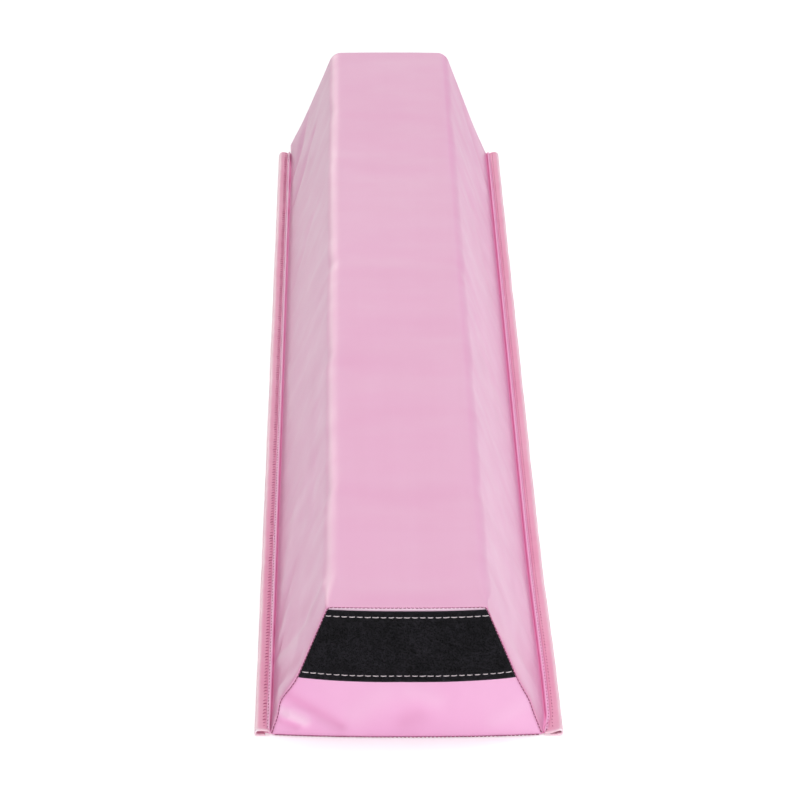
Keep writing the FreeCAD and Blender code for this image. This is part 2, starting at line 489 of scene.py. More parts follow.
@dataclass(frozen=True)
class Vinyl:
    """Coated cover vinyl with a fine emboss and soft streaks, plus painted shade and painted highlight from
    the mesh's tint.
    """

    name: str
    colour: Colour
    deep: Colour
    pale: Colour
    roughness: float = 0.40
    grain: float = 0.000022
    streaks: float = 0.35
    coat: float = 0.08
    # painted shade: the darkest rose below is laid along the crevice line
    painted_crevice_shade: Colour = srgb(140, 48, 84)
    # painted highlight: the near white below is laid on the left long edge, the end panel's top ridge and
    # the binding's fold edge
    wear_and_highlight: Colour = srgb(250, 232, 243)

    def make(self) -> Material:
        """Builds the material.

        Returns:
            The material.
        """
        paint = Shader(self.name)
        clouds = paint.noise(6.0, 3.0)
        across = paint.noise(1.0, 3.0, paint.stretched((2.2, 26.0, 5.0)))
        along = paint.noise(1.0, 3.0, paint.stretched((60.0, 3.0, 60.0)))
        base = paint.mix(paint.ramp(clouds, 0.35, 0.65, 0.0, 0.25), self.colour, self.pale)
        streak = paint.ramp(maths(paint.tree, "ADD", across, along), 0.85, 1.2, 0.0, 0.22 * self.streaks)
        base = paint.mix(streak, base, self.deep)
        # The mesh's attribute paints light and shade here: deep and the darkest rose are painted shade, pale
        # and near white are painted highlight.
        tint = paint.tint()
        base = paint.mix(paint.ramp(tint, 0.0, 1.0, 0.0, 1.0), base, self.deep)
        base = paint.mix(paint.ramp(tint, -1.0, 0.0, 1.0, 0.0), base, self.pale)
        base = paint.mix(paint.ramp(tint, 1.0, 2.0, 0.0, 1.0), base, self.painted_crevice_shade)
        base = paint.mix(paint.ramp(tint, -2.0, -1.0, 1.0, 0.0), base, self.wear_and_highlight)
        rough = paint.ramp(paint.noise(38.0, 3.0), 0.3, 0.7, self.roughness - 0.05, self.roughness + 0.07)
        relief = paint.bump(paint.noise(34.0, 2.0), 0.00010)
        relief = paint.bump(across, 0.00016 * self.streaks, relief)
        relief = paint.bump(paint.cells(1250.0, "SMOOTH_F1"), self.grain, relief)
        return paint.set(Base_Color=base, Roughness=rough, IOR=1.47, Normal=relief, Coat_Weight=self.coat,
                         Coat_Roughness=0.28, Specular_IOR_Level=0.5)


@dataclass(frozen=True)
class Pile:
    """Black knitted nylon under loops or hooks, matt with a few lighter filaments."""

    name: str
    colour: Colour = srgb(7, 7, 8)
    light: Colour = srgb(40, 40, 44)

    def make(self) -> Material:
        """Builds the material.

        Returns:
            The material.
        """
        paint = Shader(self.name)
        tufts = paint.noise(900.0, 3.0, rough=0.7)
        patches = paint.noise(60.0, 3.0)
        colour = paint.mix(paint.ramp(tufts, 0.42, 0.72, 0.0, 1.0), self.colour, self.light)
        colour = paint.mix(paint.ramp(patches, 0.4, 0.62, 0.0, 0.35), colour, srgb(8, 8, 9))
        relief = paint.bump(tufts, 0.0004)
        rough = paint.ramp(tufts, 0.3, 0.7, 0.75, 0.95)
        return paint.set(Base_Color=colour, Roughness=rough, Normal=relief, Specular_IOR_Level=0.15,
                         Sheen_Weight=0.02, Sheen_Roughness=0.5)


@dataclass(frozen=True)
class Thread:
    """Twisted sewing thread: fine slanted plies and a soft sheen."""

    name: str
    colour: Colour
    dark: Colour

    def make(self) -> Material:
        """Builds the material.

        Returns:
            The material.
        """
        paint = Shader(self.name)
        place = paint.stretched((1600.0, 1600.0, 1600.0))
        twist = {"Vector": place, "Scale": 0.7, "Distortion": 1.2, "Detail": 1.0}
        plies = add(paint.tree, "ShaderNodeTexWave", twist, bands_direction="DIAGONAL").outputs["Fac"]
        soft = paint.noise(240.0, 2.0)
        colour = paint.mix(paint.ramp(plies, 0.1, 0.8, 0.55, 0.0), self.colour, self.dark)
        colour = paint.mix(paint.ramp(soft, 0.45, 0.75, 0.0, 0.4), colour, self.dark)
        return paint.set(Base_Color=colour, Roughness=paint.ramp(soft, 0.3, 0.7, 0.5, 0.7),
                         Normal=paint.bump(plies, 0.00008), Sheen_Weight=0.15, Sheen_Roughness=0.4)


@dataclass(frozen=True)
class FoamFill:
    """Cream polyurethane foam with open cells and a yellowed patch or two."""

    name: str = "foam_cells"

    def make(self) -> Material:
        """Builds the material.

        Returns:
            The material.
        """
        paint = Shader(self.name)
        pores = paint.cells(620.0)
        big = paint.cells(210.0)
        age = paint.noise(7.0, 3.0)
        colour = paint.mix(paint.ramp(pores, 0.1, 0.6, 0.0, 1.0), srgb(206, 190, 150), srgb(240, 230, 200))
        colour = paint.mix(paint.ramp(age, 0.45, 0.7, 0.0, 0.5), colour, srgb(226, 204, 150))
        relief = paint.bump(pores, 0.0005, paint.bump(big, 0.0004))
        rough = paint.ramp(pores, 0.0, 0.6, 0.98, 0.85)
        return paint.set(Base_Color=colour, Roughness=rough, Normal=relief, Specular_IOR_Level=0.2)


@dataclass(frozen=True)
class TapeWeave:
    """Close woven polyester of the zip tape: warp and weft crossing at half a millimetre."""

    name: str = "zip_tape_weave"

    def make(self) -> Material:
        """Builds the material.

        Returns:
            The material.
        """
        paint = Shader(self.name)
        warp, weft = (
            add(paint.tree, "ShaderNodeTexWave", {"Vector": paint.place, "Scale": scale, "Distortion": 0.6},
                bands_direction=way).outputs["Fac"] for way, scale in (("X", 320.0), ("Y", 400.0)))
        weave = maths(paint.tree, "MULTIPLY", warp, weft)
        wear_and_highlight = paint.noise(24.0, 3.0)
        colour = paint.mix(paint.ramp(weave, 0.0, 0.7, 0.0, 1.0), srgb(196, 116, 158), srgb(238, 170, 204))
        colour = paint.mix(paint.ramp(wear_and_highlight, 0.5, 0.75, 0.0, 0.3), colour, srgb(214, 150, 180))
        return paint.set(Base_Color=colour, Roughness=paint.ramp(weave, 0.0, 1.0, 0.9, 0.72),
                         Normal=paint.bump(weave, 0.00012), Sheen_Weight=0.2, Specular_IOR_Level=0.3)


@dataclass(frozen=True)
class Nylon:
    """Moulded nylon of the zip coil, slightly see-through and polished where the slider rubs."""

    name: str = "zip_teeth_nylon"

    def make(self) -> Material:
        """Builds the material.

        Returns:
            The material.
        """
        paint = Shader(self.name)
        dull = paint.noise(90.0, 3.0)
        fine = paint.noise(2200.0, 2.0)
        colour = paint.mix(paint.ramp(dull, 0.35, 0.7, 0.0, 1.0), srgb(236, 162, 198), srgb(214, 134, 174))
        return paint.set(Base_Color=colour, Roughness=paint.ramp(dull, 0.3, 0.7, 0.25, 0.42),
                         Normal=paint.bump(fine, 0.00002), Coat_Weight=0.2, Coat_Roughness=0.2)


@dataclass(frozen=True)
class Nickel:
    """Nickel-plated zinc of the zip's slider, pull and stops, with rubbed and dulled patches."""

    name: str
    colour: Colour = srgb(196, 194, 190)
    dull: Colour = srgb(150, 147, 142)

    def make(self) -> Material:
        """Builds the material.

        Returns:
            The material.
        """
        paint = Shader(self.name)
        rubbed = paint.noise(420.0, 4.0, rough=0.6)
        scratch = paint.noise(1.0, 3.0, paint.stretched((3200.0, 300.0, 3200.0)))
        colour = paint.mix(paint.ramp(rubbed, 0.4, 0.7, 0.0, 0.7), self.colour, self.dull)
        rough = paint.ramp(maths(paint.tree, "ADD", rubbed, scratch), 0.7, 1.3, 0.2, 0.42)
        relief = paint.bump(scratch, 0.00001)
        return paint.set(Base_Color=colour, Metallic=1.0, Roughness=rough, Normal=relief)


# Geometry Nodes


def node_group(name: str, sockets: list[tuple[str, str, object]]) -> tuple[Tree, bpy.types.Node]:
    """Starts a Geometry Nodes tree with named inputs and one geometry output.

    Args:
        name: name of the tree.
        sockets: name, socket kind without NodeSocket, and default of each input.

    Returns:
        The tree and its input node.
    """
    tree = bpy.data.node_groups.new(name, "GeometryNodeTree")
    for label, kind, value in sockets:
        socket = tree.interface.new_socket(label, in_out="INPUT", socket_type="NodeSocket" + kind)
        if value is not None:
            socket.default_value = value
    tree.interface.new_socket("Geometry", in_out="OUTPUT", socket_type="NodeSocketGeometry")
    return tree, add(tree, "NodeGroupInput")


def close_group(tree: Tree, geometry: Socket, material: Socket) -> None:
    """Ends a tree in Realize Instances and Set Material.

    Args:
        tree: the tree.
        geometry: what was made.
        material: the material input.
    """
    real = add(tree, "GeometryNodeRealizeInstances", {0: geometry})
    painted = add(tree, "GeometryNodeSetMaterial", {"Geometry": real.outputs[0], "Material": material})
    add(tree, "NodeGroupOutput", {0: painted.outputs[0]})


def chance(tree: Tree, low: Feed, high: Feed, seed: Feed) -> Socket:
    """A random number for each point.

    Args:
        tree: the tree.
        low: least value.
        high: greatest value.
        seed: fixed seed, a number or a socket.

    Returns:
        The number's socket.
    """
    return add(tree, "FunctionNodeRandomValue", {2: low, 3: high, 8: seed}, data_type="FLOAT").outputs[1]


def swept(tree: Tree, line: Socket, sides: int, radius: Feed) -> Socket:
    """Sweeps a ring along a line and closes the ends.

    Args:
        tree: the tree.
        line: the curve to follow.
        sides: cuts round the ring.
        radius: of the ring.

    Returns:
        The tube's mesh socket.
    """
    ring = add(tree, "GeometryNodeCurvePrimitiveCircle", {"Resolution": sides, "Radius": radius},
               mode="RADIUS").outputs[0]
    return add(tree, "GeometryNodeCurveToMesh",
               {"Curve": line, "Profile Curve": ring, "Fill Caps": True}).outputs[0]


def scattered(tree: Tree, points: Socket, shape: Socket, turn: Socket, size: Feed,
              material: Socket) -> None:
    """Sets a shape on every point and ends the tree.

    Args:
        tree: the tree.
        points: where the shapes go.
        shape: the mesh that is repeated.
        turn: rotation of each.
        size: scale of each.
        material: the material input.
    """
    made = add(tree, "GeometryNodeInstanceOnPoints",
               {"Points": points, "Instance": shape, "Rotation": turn, "Scale": size})
    close_group(tree, made.outputs[0], material)


def spun(tree: Tree, base: Socket, axis: Place, angle: Socket) -> Socket:
    """Turns a rotation further about one of its own axes.

    Args:
        tree: the tree.
        base: the rotation so far.
        axis: the axis.
        angle: how far, in radians.

    Returns:
        The rotation's socket.
    """
    spin = add(tree, "FunctionNodeAxisAngleToRotation", {"Axis": axis, "Angle": angle}).outputs[0]
    return add(tree, "FunctionNodeRotateRotation", {0: base, 1: spin}, rotation_space="LOCAL").outputs[0]


def bowed_strand(tree: Tree, steps: int, sides: int, ends: tuple[Feed, Feed, Feed],
                 radius: Feed) -> Socket:
    """A short bowed tube, the shape of a stitch, a loop or a hook.

    Args:
        tree: the tree.
        steps: cuts along it.
        sides: cuts round it.
        ends: start, middle handle and end.
        radius: of the tube.

    Returns:
        The mesh socket.
    """
    bow = add(tree, "GeometryNodeCurveQuadraticBezier",
              {"Resolution": steps, "Start": ends[0], "Middle": ends[1], "End": ends[2]})
    return swept(tree, bow.outputs[0], sides, radius)


def turned_to(tree: Tree, along: Feed, facing: Feed, angle: Feed) -> Socket:
    """Turn that lays a shape's X along a line and its Z to a face, then spins it on that face.

    Args:
        tree: the tree.
        along: direction for X.
        facing: direction for Z.
        angle: spin about Z.

    Returns:
        The rotation's socket.
    """
    first = add(tree, "FunctionNodeAlignRotationToVector", {"Vector": along}, axis="X")
    second = add(tree, "FunctionNodeAlignRotationToVector",
                 {"Rotation": first.outputs[0], "Vector": facing}, axis="Z", pivot_axis="X")
    return spun(tree, second.outputs[0], UP, angle)


@cache
def stitch_group() -> Tree:
    """Tree that sews one row of stitches along a path of edges.

    Returns:
        The tree, built once.
    """
    tree, given = node_group("sew_row", [
        ("Path", "Geometry", None), ("Pitch", "Float", 0.005), ("Stitch Length", "Float", 0.004),
        ("Thread Width", "Float", 0.0007), ("Thread Height", "Float", 0.0006), ("Slant", "Float", 0.0),
        ("Unevenness", "Float", 0.06), ("Facing", "Vector", UP), ("Seed", "Int", 1),
        ("Thread", "Material", None)])
    curve = add(tree, "GeometryNodeMeshToCurve", {0: given.outputs["Path"]})
    even = add(tree, "GeometryNodeResampleCurve",
               {"Curve": curve.outputs[0], "Length": given.outputs["Pitch"]}, mode="LENGTH")
    points = add(tree, "GeometryNodeCurveToPoints", {"Curve": even.outputs[0]}, mode="EVALUATED")
    half = maths(tree, "MULTIPLY", given.outputs["Stitch Length"], 0.5)
    high = given.outputs["Thread Height"]
    sunk, raised = maths(tree, "MULTIPLY", high, -1.1), maths(tree, "MULTIPLY", high, 1.6)
    start = add(tree, "ShaderNodeCombineXYZ", {0: maths(tree, "MULTIPLY", half, -1.0), 2: sunk})
    crest = add(tree, "ShaderNodeCombineXYZ", {2: raised})
    stop = add(tree, "ShaderNodeCombineXYZ", {0: half, 2: sunk})
    strand = bowed_strand(tree, 6, 6, (start.outputs[0], crest.outputs[0], stop.outputs[0]),
                          maths(tree, "MULTIPLY", given.outputs["Thread Width"], 0.5))
    loose = given.outputs["Unevenness"]
    wander = chance(tree, -1.0, 1.0, given.outputs["Seed"])
    angle = maths(tree, "ADD", given.outputs["Slant"], maths(tree, "MULTIPLY", wander, loose))
    pull = chance(tree, 0.86, 1.08, maths(tree, "ADD", given.outputs["Seed"], 7.0))
    size = add(tree, "ShaderNodeCombineXYZ", {0: pull, 1: 1.0, 2: 1.0})
    turn = turned_to(tree, points.outputs["Tangent"], given.outputs["Facing"], angle)
    scattered(tree, points.outputs["Points"], strand, turn, size.outputs[0], given.outputs["Thread"])
    return tree


@cache
def pile_group() -> Tree:
    """Tree that covers a tape with small soft loops.

    Returns:
        The tree, built once.
    """
    tree, given = node_group("loop_pile", [
        ("Ground", "Geometry", None), ("Density", "Float", 1.1e6), ("Loop Size", "Float", 0.0011),
        ("Loop Height", "Float", 0.0008), ("Seed", "Int", 4), ("Yarn", "Material", None)])
    seed = given.outputs["Seed"]
    spread = add(tree, "GeometryNodeDistributePointsOnFaces",
                 {"Mesh": given.outputs["Ground"], "Density": given.outputs["Density"], "Seed": seed},
                 distribute_method="RANDOM")
    # one loop of yarn, a unit wide
    bow = (Vector((-0.5, 0, -0.3)), Vector((0, 0, 1.9)), Vector((0.5, 0, -0.3)))
    loop = bowed_strand(tree, 4, 3, bow, 0.13)
    turn = spun(tree, spread.outputs["Rotation"], UP, chance(tree, 0.0, 6.283, seed))
    turn = spun(tree, turn, (1.0, 0.0, 0.0), chance(tree, -0.9, 0.9, 11))
    grow = chance(tree, 0.65, 1.2, 23)
    size = add(tree, "ShaderNodeCombineXYZ", {
        0: maths(tree, "MULTIPLY", given.outputs["Loop Size"], grow), 1: given.outputs["Loop Size"],
        2: maths(tree, "MULTIPLY", given.outputs["Loop Height"], grow)})
    scattered(tree, spread.outputs["Points"], loop, turn, size.outputs[0], given.outputs["Yarn"])
    return tree


@cache
def hook_group() -> Tree:
    """Tree that stands a bent hook on every point of a field.

    Returns:
        The tree, built once.
    """
    tree, given = node_group("hook_field", [
        ("Field", "Geometry", None), ("Hook Height", "Float", 0.0012),
        ("Facing", "Vector", (0.0, 1.0, 0.0)), ("Seed", "Int", 5), ("Nylon", "Material", None)])
    points = add(tree, "GeometryNodeMeshToPoints", {0: given.outputs["Field"]})
    # one hook, a unit high, that rises and bends over
    bow = (Vector((0, 0, -0.1)), Vector((0.05, 0, 1.9)), Vector((0.6, 0, 0.55)))
    hook = bowed_strand(tree, 5, 4, bow, 0.1)
    turn = turned_to(tree, UP, given.outputs["Facing"], chance(tree, -0.5, 0.5, given.outputs["Seed"]))
    size = maths(tree, "MULTIPLY", given.outputs["Hook Height"], chance(tree, 0.9, 1.08, 31))
    scattered(tree, points.outputs[0], hook, turn, size, given.outputs["Nylon"])
    return tree


@cache
def coil_group() -> Tree:
    """Tree that winds the zip's nylon coil along Y.

    Returns:
        The tree, built once.
    """
    tree, given = node_group("zip_coil", [
        ("Base", "Geometry", None), ("Turns", "Float", 600.0), ("Run", "Float", 1.0),
        ("Half Width", "Float", 0.001), ("Half Height", "Float", 0.0006), ("Wire Radius", "Float", 0.0003),
        ("Centre", "Vector", (0.0, 0.0, 0.0)), ("Nylon", "Material", None)])
    spiral = add(tree, "GeometryNodeCurveSpiral", {
        "Resolution": STEPS_A_TURN, "Rotations": given.outputs["Turns"], "Start Radius": 1.0,
        "End Radius": 1.0, "Height": given.outputs["Run"]})
    size = add(tree, "ShaderNodeCombineXYZ",
               {0: given.outputs["Half Width"], 1: given.outputs["Half Height"], 2: 1.0})
    laid = add(tree, "GeometryNodeTransform", {
        "Geometry": spiral.outputs[0], "Translation": given.outputs["Centre"],
        "Rotation": (-math.pi / 2, 0.0, 0.0), "Scale": size.outputs[0]})
    wire = swept(tree, laid.outputs[0], 5, given.outputs["Wire Radius"])
    close_group(tree, wire, given.outputs["Nylon"])
    return tree


def grown(name: str, tree: Tree, carrier: Mesh, values: dict[str, object]) -> Object:
    """Runs a tree on a carrier mesh and keeps the result as a plain mesh.

    Args:
        name: name of the new object.
        tree: the Geometry Nodes tree.
        carrier: path, field or ground that the tree starts from.
        values: the tree's inputs by name.

    Returns:
        The new object.
    """
    holder = bpy.data.objects.new(name + "_carrier", carrier)
    bpy.context.scene.collection.objects.link(holder)
    grower = holder.modifiers.new("grow", "NODES")
    grower.node_group = tree
    keys = {item.name: item.identifier for item in tree.interface.items_tree
            if item.item_type == "SOCKET" and item.in_out == "INPUT"}
    for label, value in values.items():
        grower[keys[label]] = value
    holder.update_tag()
    bpy.context.view_layer.update()
    graph = bpy.context.evaluated_depsgraph_get()
    mesh = bpy.data.meshes.new_from_object(holder.evaluated_get(graph))
    holder.modifiers.clear()
    bpy.data.objects.remove(holder)
    return new_object(name, mesh)


def path_mesh(lines: list[Array]) -> Mesh:
    """Edges along one or more lines of points.

    Args:
        lines: arrays of points.

    Returns:
        A mesh with edges only.
    """
    points, edges = [], []
    for line in lines:
        start = len(points)
        points += line.tolist()
        edges += [(start + i, start + i + 1) for i in range(len(line) - 1)]
    mesh = bpy.data.meshes.new("path")
    mesh.from_pydata(points, edges, [])
    return mesh


@dataclass(frozen=True)
class Seam:
    """One kind of stitching: its pitch, stitch and thread sizes."""

    pitch: float
    stitch: float
    width: float
    height: float
    slant: float = 0.0
    unevenness: float = 0.06

    def sew(self, name: str, lines: list[Array], facing: Place, seed: int,
            thread: Material) -> Object:
        """Sews the stitches along lines.

        Args:
            name: name of the object.
            lines: arrays of points along each row.
            facing: the way that the cloth faces.
            seed: for the unevenness.
            thread: its material.

        Returns:
            The stitches as one plain mesh.
        """
        return grown(name, stitch_group(), path_mesh(lines), {
            "Pitch": self.pitch, "Stitch Length": self.stitch, "Thread Width": self.width,
            "Thread Height": self.height, "Slant": self.slant, "Unevenness": self.unevenness,
            "Facing": facing, "Seed": seed, "Thread": thread})


END_SEAM = Seam(0.0026, 0.0020, 0.0006, 0.0006, 0.0, 0.12)
TAPE_SEAM = Seam(0.0050, 0.0037, 0.00062, 0.00042, 0.03, 0.06)
HEM_SEAM = Seam(0.0030, 0.0024, 0.0006, 0.0005, 0.0, 0.05)
# The outer row on each binding, then the finer row beside it
FLANGE_SEAMS = {
    Side.LEFT: (Seam(0.0050, 0.0034, 0.00058, 0.00040, -0.78, 0.07),
                Seam(0.0050, 0.0017, 0.00050, 0.00035, -0.12, 0.08)),
    Side.RIGHT: (Seam(0.0050, 0.0018, 0.00055, 0.00035, 0.20, 0.07),
                 Seam(0.0050, 0.0015, 0.00045, 0.00030, 0.06, 0.08))}


# The shape of the stuffed cover


@dataclass(frozen=True)
class Fold:
    """A soft ridge or dent in the cover.

    near and far are its two ends: distance from the loop end, and height on a side or X on the top.
    """

    face: Face
    near: tuple[float, float]
    far: tuple[float, float]
    width: float
    rise: float

    def height(self, face: Array, reach: Array, level: Array) -> Array:
        """Relief of this fold.

        Args:
            face: -1, 0 or 1 for the face of each point.
            reach: distance of each point from the loop end.
            level: height or X of each point.

        Returns:
            Metres outwards at each point.
        """
        start, stop = np.array(self.near), np.array(self.far)
        way = stop - start
        long = max(float(np.linalg.norm(way)), 1e-6)
        share = np.clip(((reach - start[0]) * way[0] + (level - start[1]) * way[1]) / long**2, 0, 1)
        off = np.hypot(reach - start[0] - share * way[0], level - start[1] - share * way[1])
        on_face = smoothstep(0.45, 0.0, np.abs(face - self.face.value))
        return self.rise * bell(off, self.width) * on_face


@dataclass(frozen=True)
class Shape:
    """The outer shape of the beam: section, ends, and how the sewn cover settles on its core."""

    half_length: float = 0.600
    sheet_end: float = 0.599
    height: float = 0.090
    foot: float = 0.088
    crown: float = 0.051
    long_radius: float = 0.0115
    end_radius: float = 0.0035
    vinyl: float = 0.0009
    end_bulge: float = 0.0042
    end_gap: float = 0.0006
    near_foot: float = 0.005
    far_foot: float = -0.045
    near_crown: float = 0.034
    far_crown: float = -0.085
    still_half: float = 0.030
    near_rise: float = 0.007
    far_rise: float = 0.036
    side_tuck: float = 0.0005
    top_tuck: float = 0.0001
    tuck_reach: float = 0.0065
    left_puff: float = 0.0046
    right_puff: float = 0.0018
    far_puff: float = 0.0046
    flare: float = 0.0024

    @property
    def slope(self) -> float:
        """How far a side leans in for each metre of height."""
        return (self.foot - self.crown) / self.height

    def half_width(self, level: Array) -> Array:
        """Half width of the trapezoid at a height."""
        return self.foot - self.slope * level

    def radius(self, reach: Array) -> Array:
        """Radius of the long edges at a distance from the loop end."""
        return self.end_radius + (self.long_radius - self.end_radius) * smoothstep(0.0, 0.060, reach)

    def outline(self, level: Array, radius: float) -> Array:
        """Half width at a height, with the long edges rounded.

        Args:
            level: height.
            radius: of the long edges.

        Returns:
            Metres from the middle plane.
        """
        lean = math.atan2(1.0, self.slope)
        flat = self.crown - radius * math.tan(lean / 2)
        drop = np.clip(level - (self.height - radius), 0, radius)
        arc = flat + np.sqrt(radius**2 - drop**2)
        return np.where(level > self.height - radius * (1 - math.cos(lean)), arc, self.half_width(level))

    def settle(self, points: Array) -> Array:
        """Draws the cover in a little along its length, as sewing does, and leaves the zip alone.

        Args:
            points: (..., 3) places.

        Returns:
            The settled places.
        """
        reach = points[..., 1] + self.half_length
        share = reach / (2 * self.half_length)
        x, z = points[..., 0], points[..., 2]
        up = np.clip(z / self.height, 0, 1)
        crown = self.near_crown + (self.far_crown - self.near_crown) * share
        foot = self.near_foot + (self.far_foot - self.near_foot) * share
        outer = np.maximum(np.abs(x) - self.still_half, 0)
        # the lower corners of the loop end are stuffed out past the straight of the side
        swollen = bell(z - 0.025, 0.0095) + 0.30 * bell(z - 0.008, 0.010)
        puff = np.where(x < 0, self.left_puff, self.right_puff) * swollen * (np.abs(x) < self.foot + 0.0005)
        puff = puff * smoothstep(0.040, 0.0, reach)
        from_far = 2 * self.half_length - reach
        far = self.far_puff * (1 - up) * smoothstep(0.001, 0.010, z) * smoothstep(0.055, 0.0, from_far)
        puff = (puff + far * (x < 0) * (np.abs(x) < self.foot + 0.0005)) * np.clip(outer / 0.050, 0, 1)
        # the right flange opens out a little before the loop end, the body's corner does not
        on_flange = smoothstep(self.foot, self.foot + 0.008, np.abs(x))
        spread = np.maximum(on_flange, smoothstep(0.0, 0.028, reach))
        open_out = self.flare * bell(reach - 0.050, 0.160) * spread * (1 - up) * (x > 0)
        open_out = open_out * np.clip(outer / 0.058, 0, 1) ** 2
        open_out = open_out - 0.0012 * np.exp(-reach / 0.100) * up * (x < 0) * np.clip(outer / 0.020, 0, 1)
        moved = points.copy()
        moved[..., 0] = x + np.sign(x) * (outer * (foot * (1 - up) + crown * up) + puff) + open_out
        rise = self.near_rise * (1 - share) ** 6 + self.far_rise * share**4
        moved[..., 2] = z * (1 + rise * smoothstep(0.012, 0.060, z))
        return moved

    def tuck(self, from_end: Array, level: Array, side: Array) -> Array:
        """How far the cover rounds in towards an end.

        Args:
            from_end: distance from the nearer end.
            level: height.
            side: 0 on the top to 1 on the sides.

        Returns:
            Metres inwards.
        """
        depth = self.top_tuck + (self.side_tuck * smoothstep(0.004, 0.030, level) - self.top_tuck) * side
        return depth * np.exp(-np.clip(from_end, 0, 1) / self.tuck_reach)

    def end_swell(self, x: Array, z: Array) -> Array:
        """How far an end stands out from its four corners, in metres."""
        share = np.clip(np.abs(x) / self.half_width(z), 0, 1)
        return self.end_bulge * (1 - share**2.4) * (0.35 + 0.65 * (1 - np.clip(z / self.height, 0, 1)))


SHAPE = Shape()

# Half the section below the straight of the side, as distance from the foot line and height:
# the crevice, the rolled band with its stitch row, and the margin that runs into the binding.
FOOT_LINE = [
    (-0.00185, 0.0045), (-0.00105, 0.0029), (-0.00040, 0.00180), (0.00000, 0.00150), (0.00032, 0.0023),
    (0.00085, 0.0033), (0.00150, 0.00365), (0.00215, 0.0032), (0.00265, 0.00265), (0.00320, 0.0030),
    (0.00400, 0.00285), (0.00550, 0.00272), (0.00750, 0.00275), (0.00970, 0.00275)]

FOLDS = [
    # the long diagonal fold that runs from the top corner of the loop end down to the foot
    Fold(Face.LEFT, (0.050, 0.088), (0.042, 0.068), 0.0070, 0.0013),
    Fold(Face.LEFT, (0.042, 0.068), (0.047, 0.052), 0.0062, 0.0011),
    Fold(Face.LEFT, (0.050, 0.048), (0.085, 0.018), 0.0058, 0.0015),
    Fold(Face.LEFT, (0.088, 0.015), (0.107, 0.003), 0.0050, 0.0014),
    Fold(Face.LEFT, (0.110, 0.005), (0.122, 0.010), 0.0052, -0.0018),
    Fold(Face.LEFT, (0.131, 0.008), (0.146, 0.022), 0.0070, 0.0011),
    Fold(Face.LEFT, (0.160, 0.004), (0.200, 0.030), 0.0080, -0.0009),
    Fold(Face.LEFT, (0.072, 0.060), (0.125, 0.028), 0.0110, -0.0008),
    # the smaller fold under it, into the lower corner
    Fold(Face.LEFT, (0.006, 0.036), (0.022, 0.023), 0.0048, 0.0009),
    Fold(Face.LEFT, (0.022, 0.023), (0.036, 0.009), 0.0050, 0.0012),
    Fold(Face.LEFT, (0.018, 0.047), (0.056, 0.018), 0.0070, -0.0011),
    Fold(Face.LEFT, (0.060, 0.006), (0.078, 0.006), 0.0060, -0.0008),
    Fold(Face.LEFT, (0.215, 0.014), (0.330, 0.040), 0.0090, 0.0008),
    Fold(Face.LEFT, (0.230, 0.060), (0.420, 0.066), 0.0070, -0.0007),
    Fold(Face.LEFT, (0.520, 0.020), (0.640, 0.012), 0.0080, 0.0007),
    Fold(Face.LEFT, (0.820, 0.016), (0.880, 0.050), 0.0080, -0.0008),
    # creases above the foot near the hook end
    Fold(Face.LEFT, (1.040, 0.006), (1.110, 0.050), 0.0075, -0.0018),
    Fold(Face.LEFT, (1.085, 0.004), (1.150, 0.045), 0.0070, 0.0014),
    Fold(Face.LEFT, (1.120, 0.004), (1.180, 0.038), 0.0055, -0.0016),
    Fold(Face.LEFT, (0.985, 0.008), (1.050, 0.040), 0.0085, 0.0008),
    Fold(Face.RIGHT, (0.012, 0.080), (0.075, 0.014), 0.0120, -0.0010),
    Fold(Face.RIGHT, (0.030, 0.088), (0.110, 0.030), 0.0110, 0.0009),
    Fold(Face.RIGHT, (0.130, 0.010), (0.250, 0.018), 0.0090, 0.0006),
    Fold(Face.RIGHT, (0.760, 0.020), (0.900, 0.050), 0.0110, -0.0006),
    Fold(Face.RIGHT, (1.100, 0.006), (1.165, 0.050), 0.0080, -0.0013),
    Fold(Face.RIGHT, (1.060, 0.004), (1.120, 0.044), 0.0090, 0.0009),
    Fold(Face.TOP, (0.006, -0.030), (0.006, 0.030), 0.0070, -0.0003),
    Fold(Face.TOP, (0.975, -0.040), (0.985, 0.015), 0.0120, 0.0003),
    Fold(Face.TOP, (1.020, -0.036), (1.012, 0.030), 0.0100, -0.0003),
]


@dataclass
class WrapGrid:
    """Points of the wrap in a grid, with what the folds and the materials need to know about them."""

    points: Array
    inward: Array
    run: Array
    reach: Array
    face: Array
    level: Array
    body: Array


@dataclass(frozen=True)
class Cells:
    """How finely half the section is cut: flat top, rounded edge, side and foot."""

    flat: int
    edge: int
    side: int
    foot: int


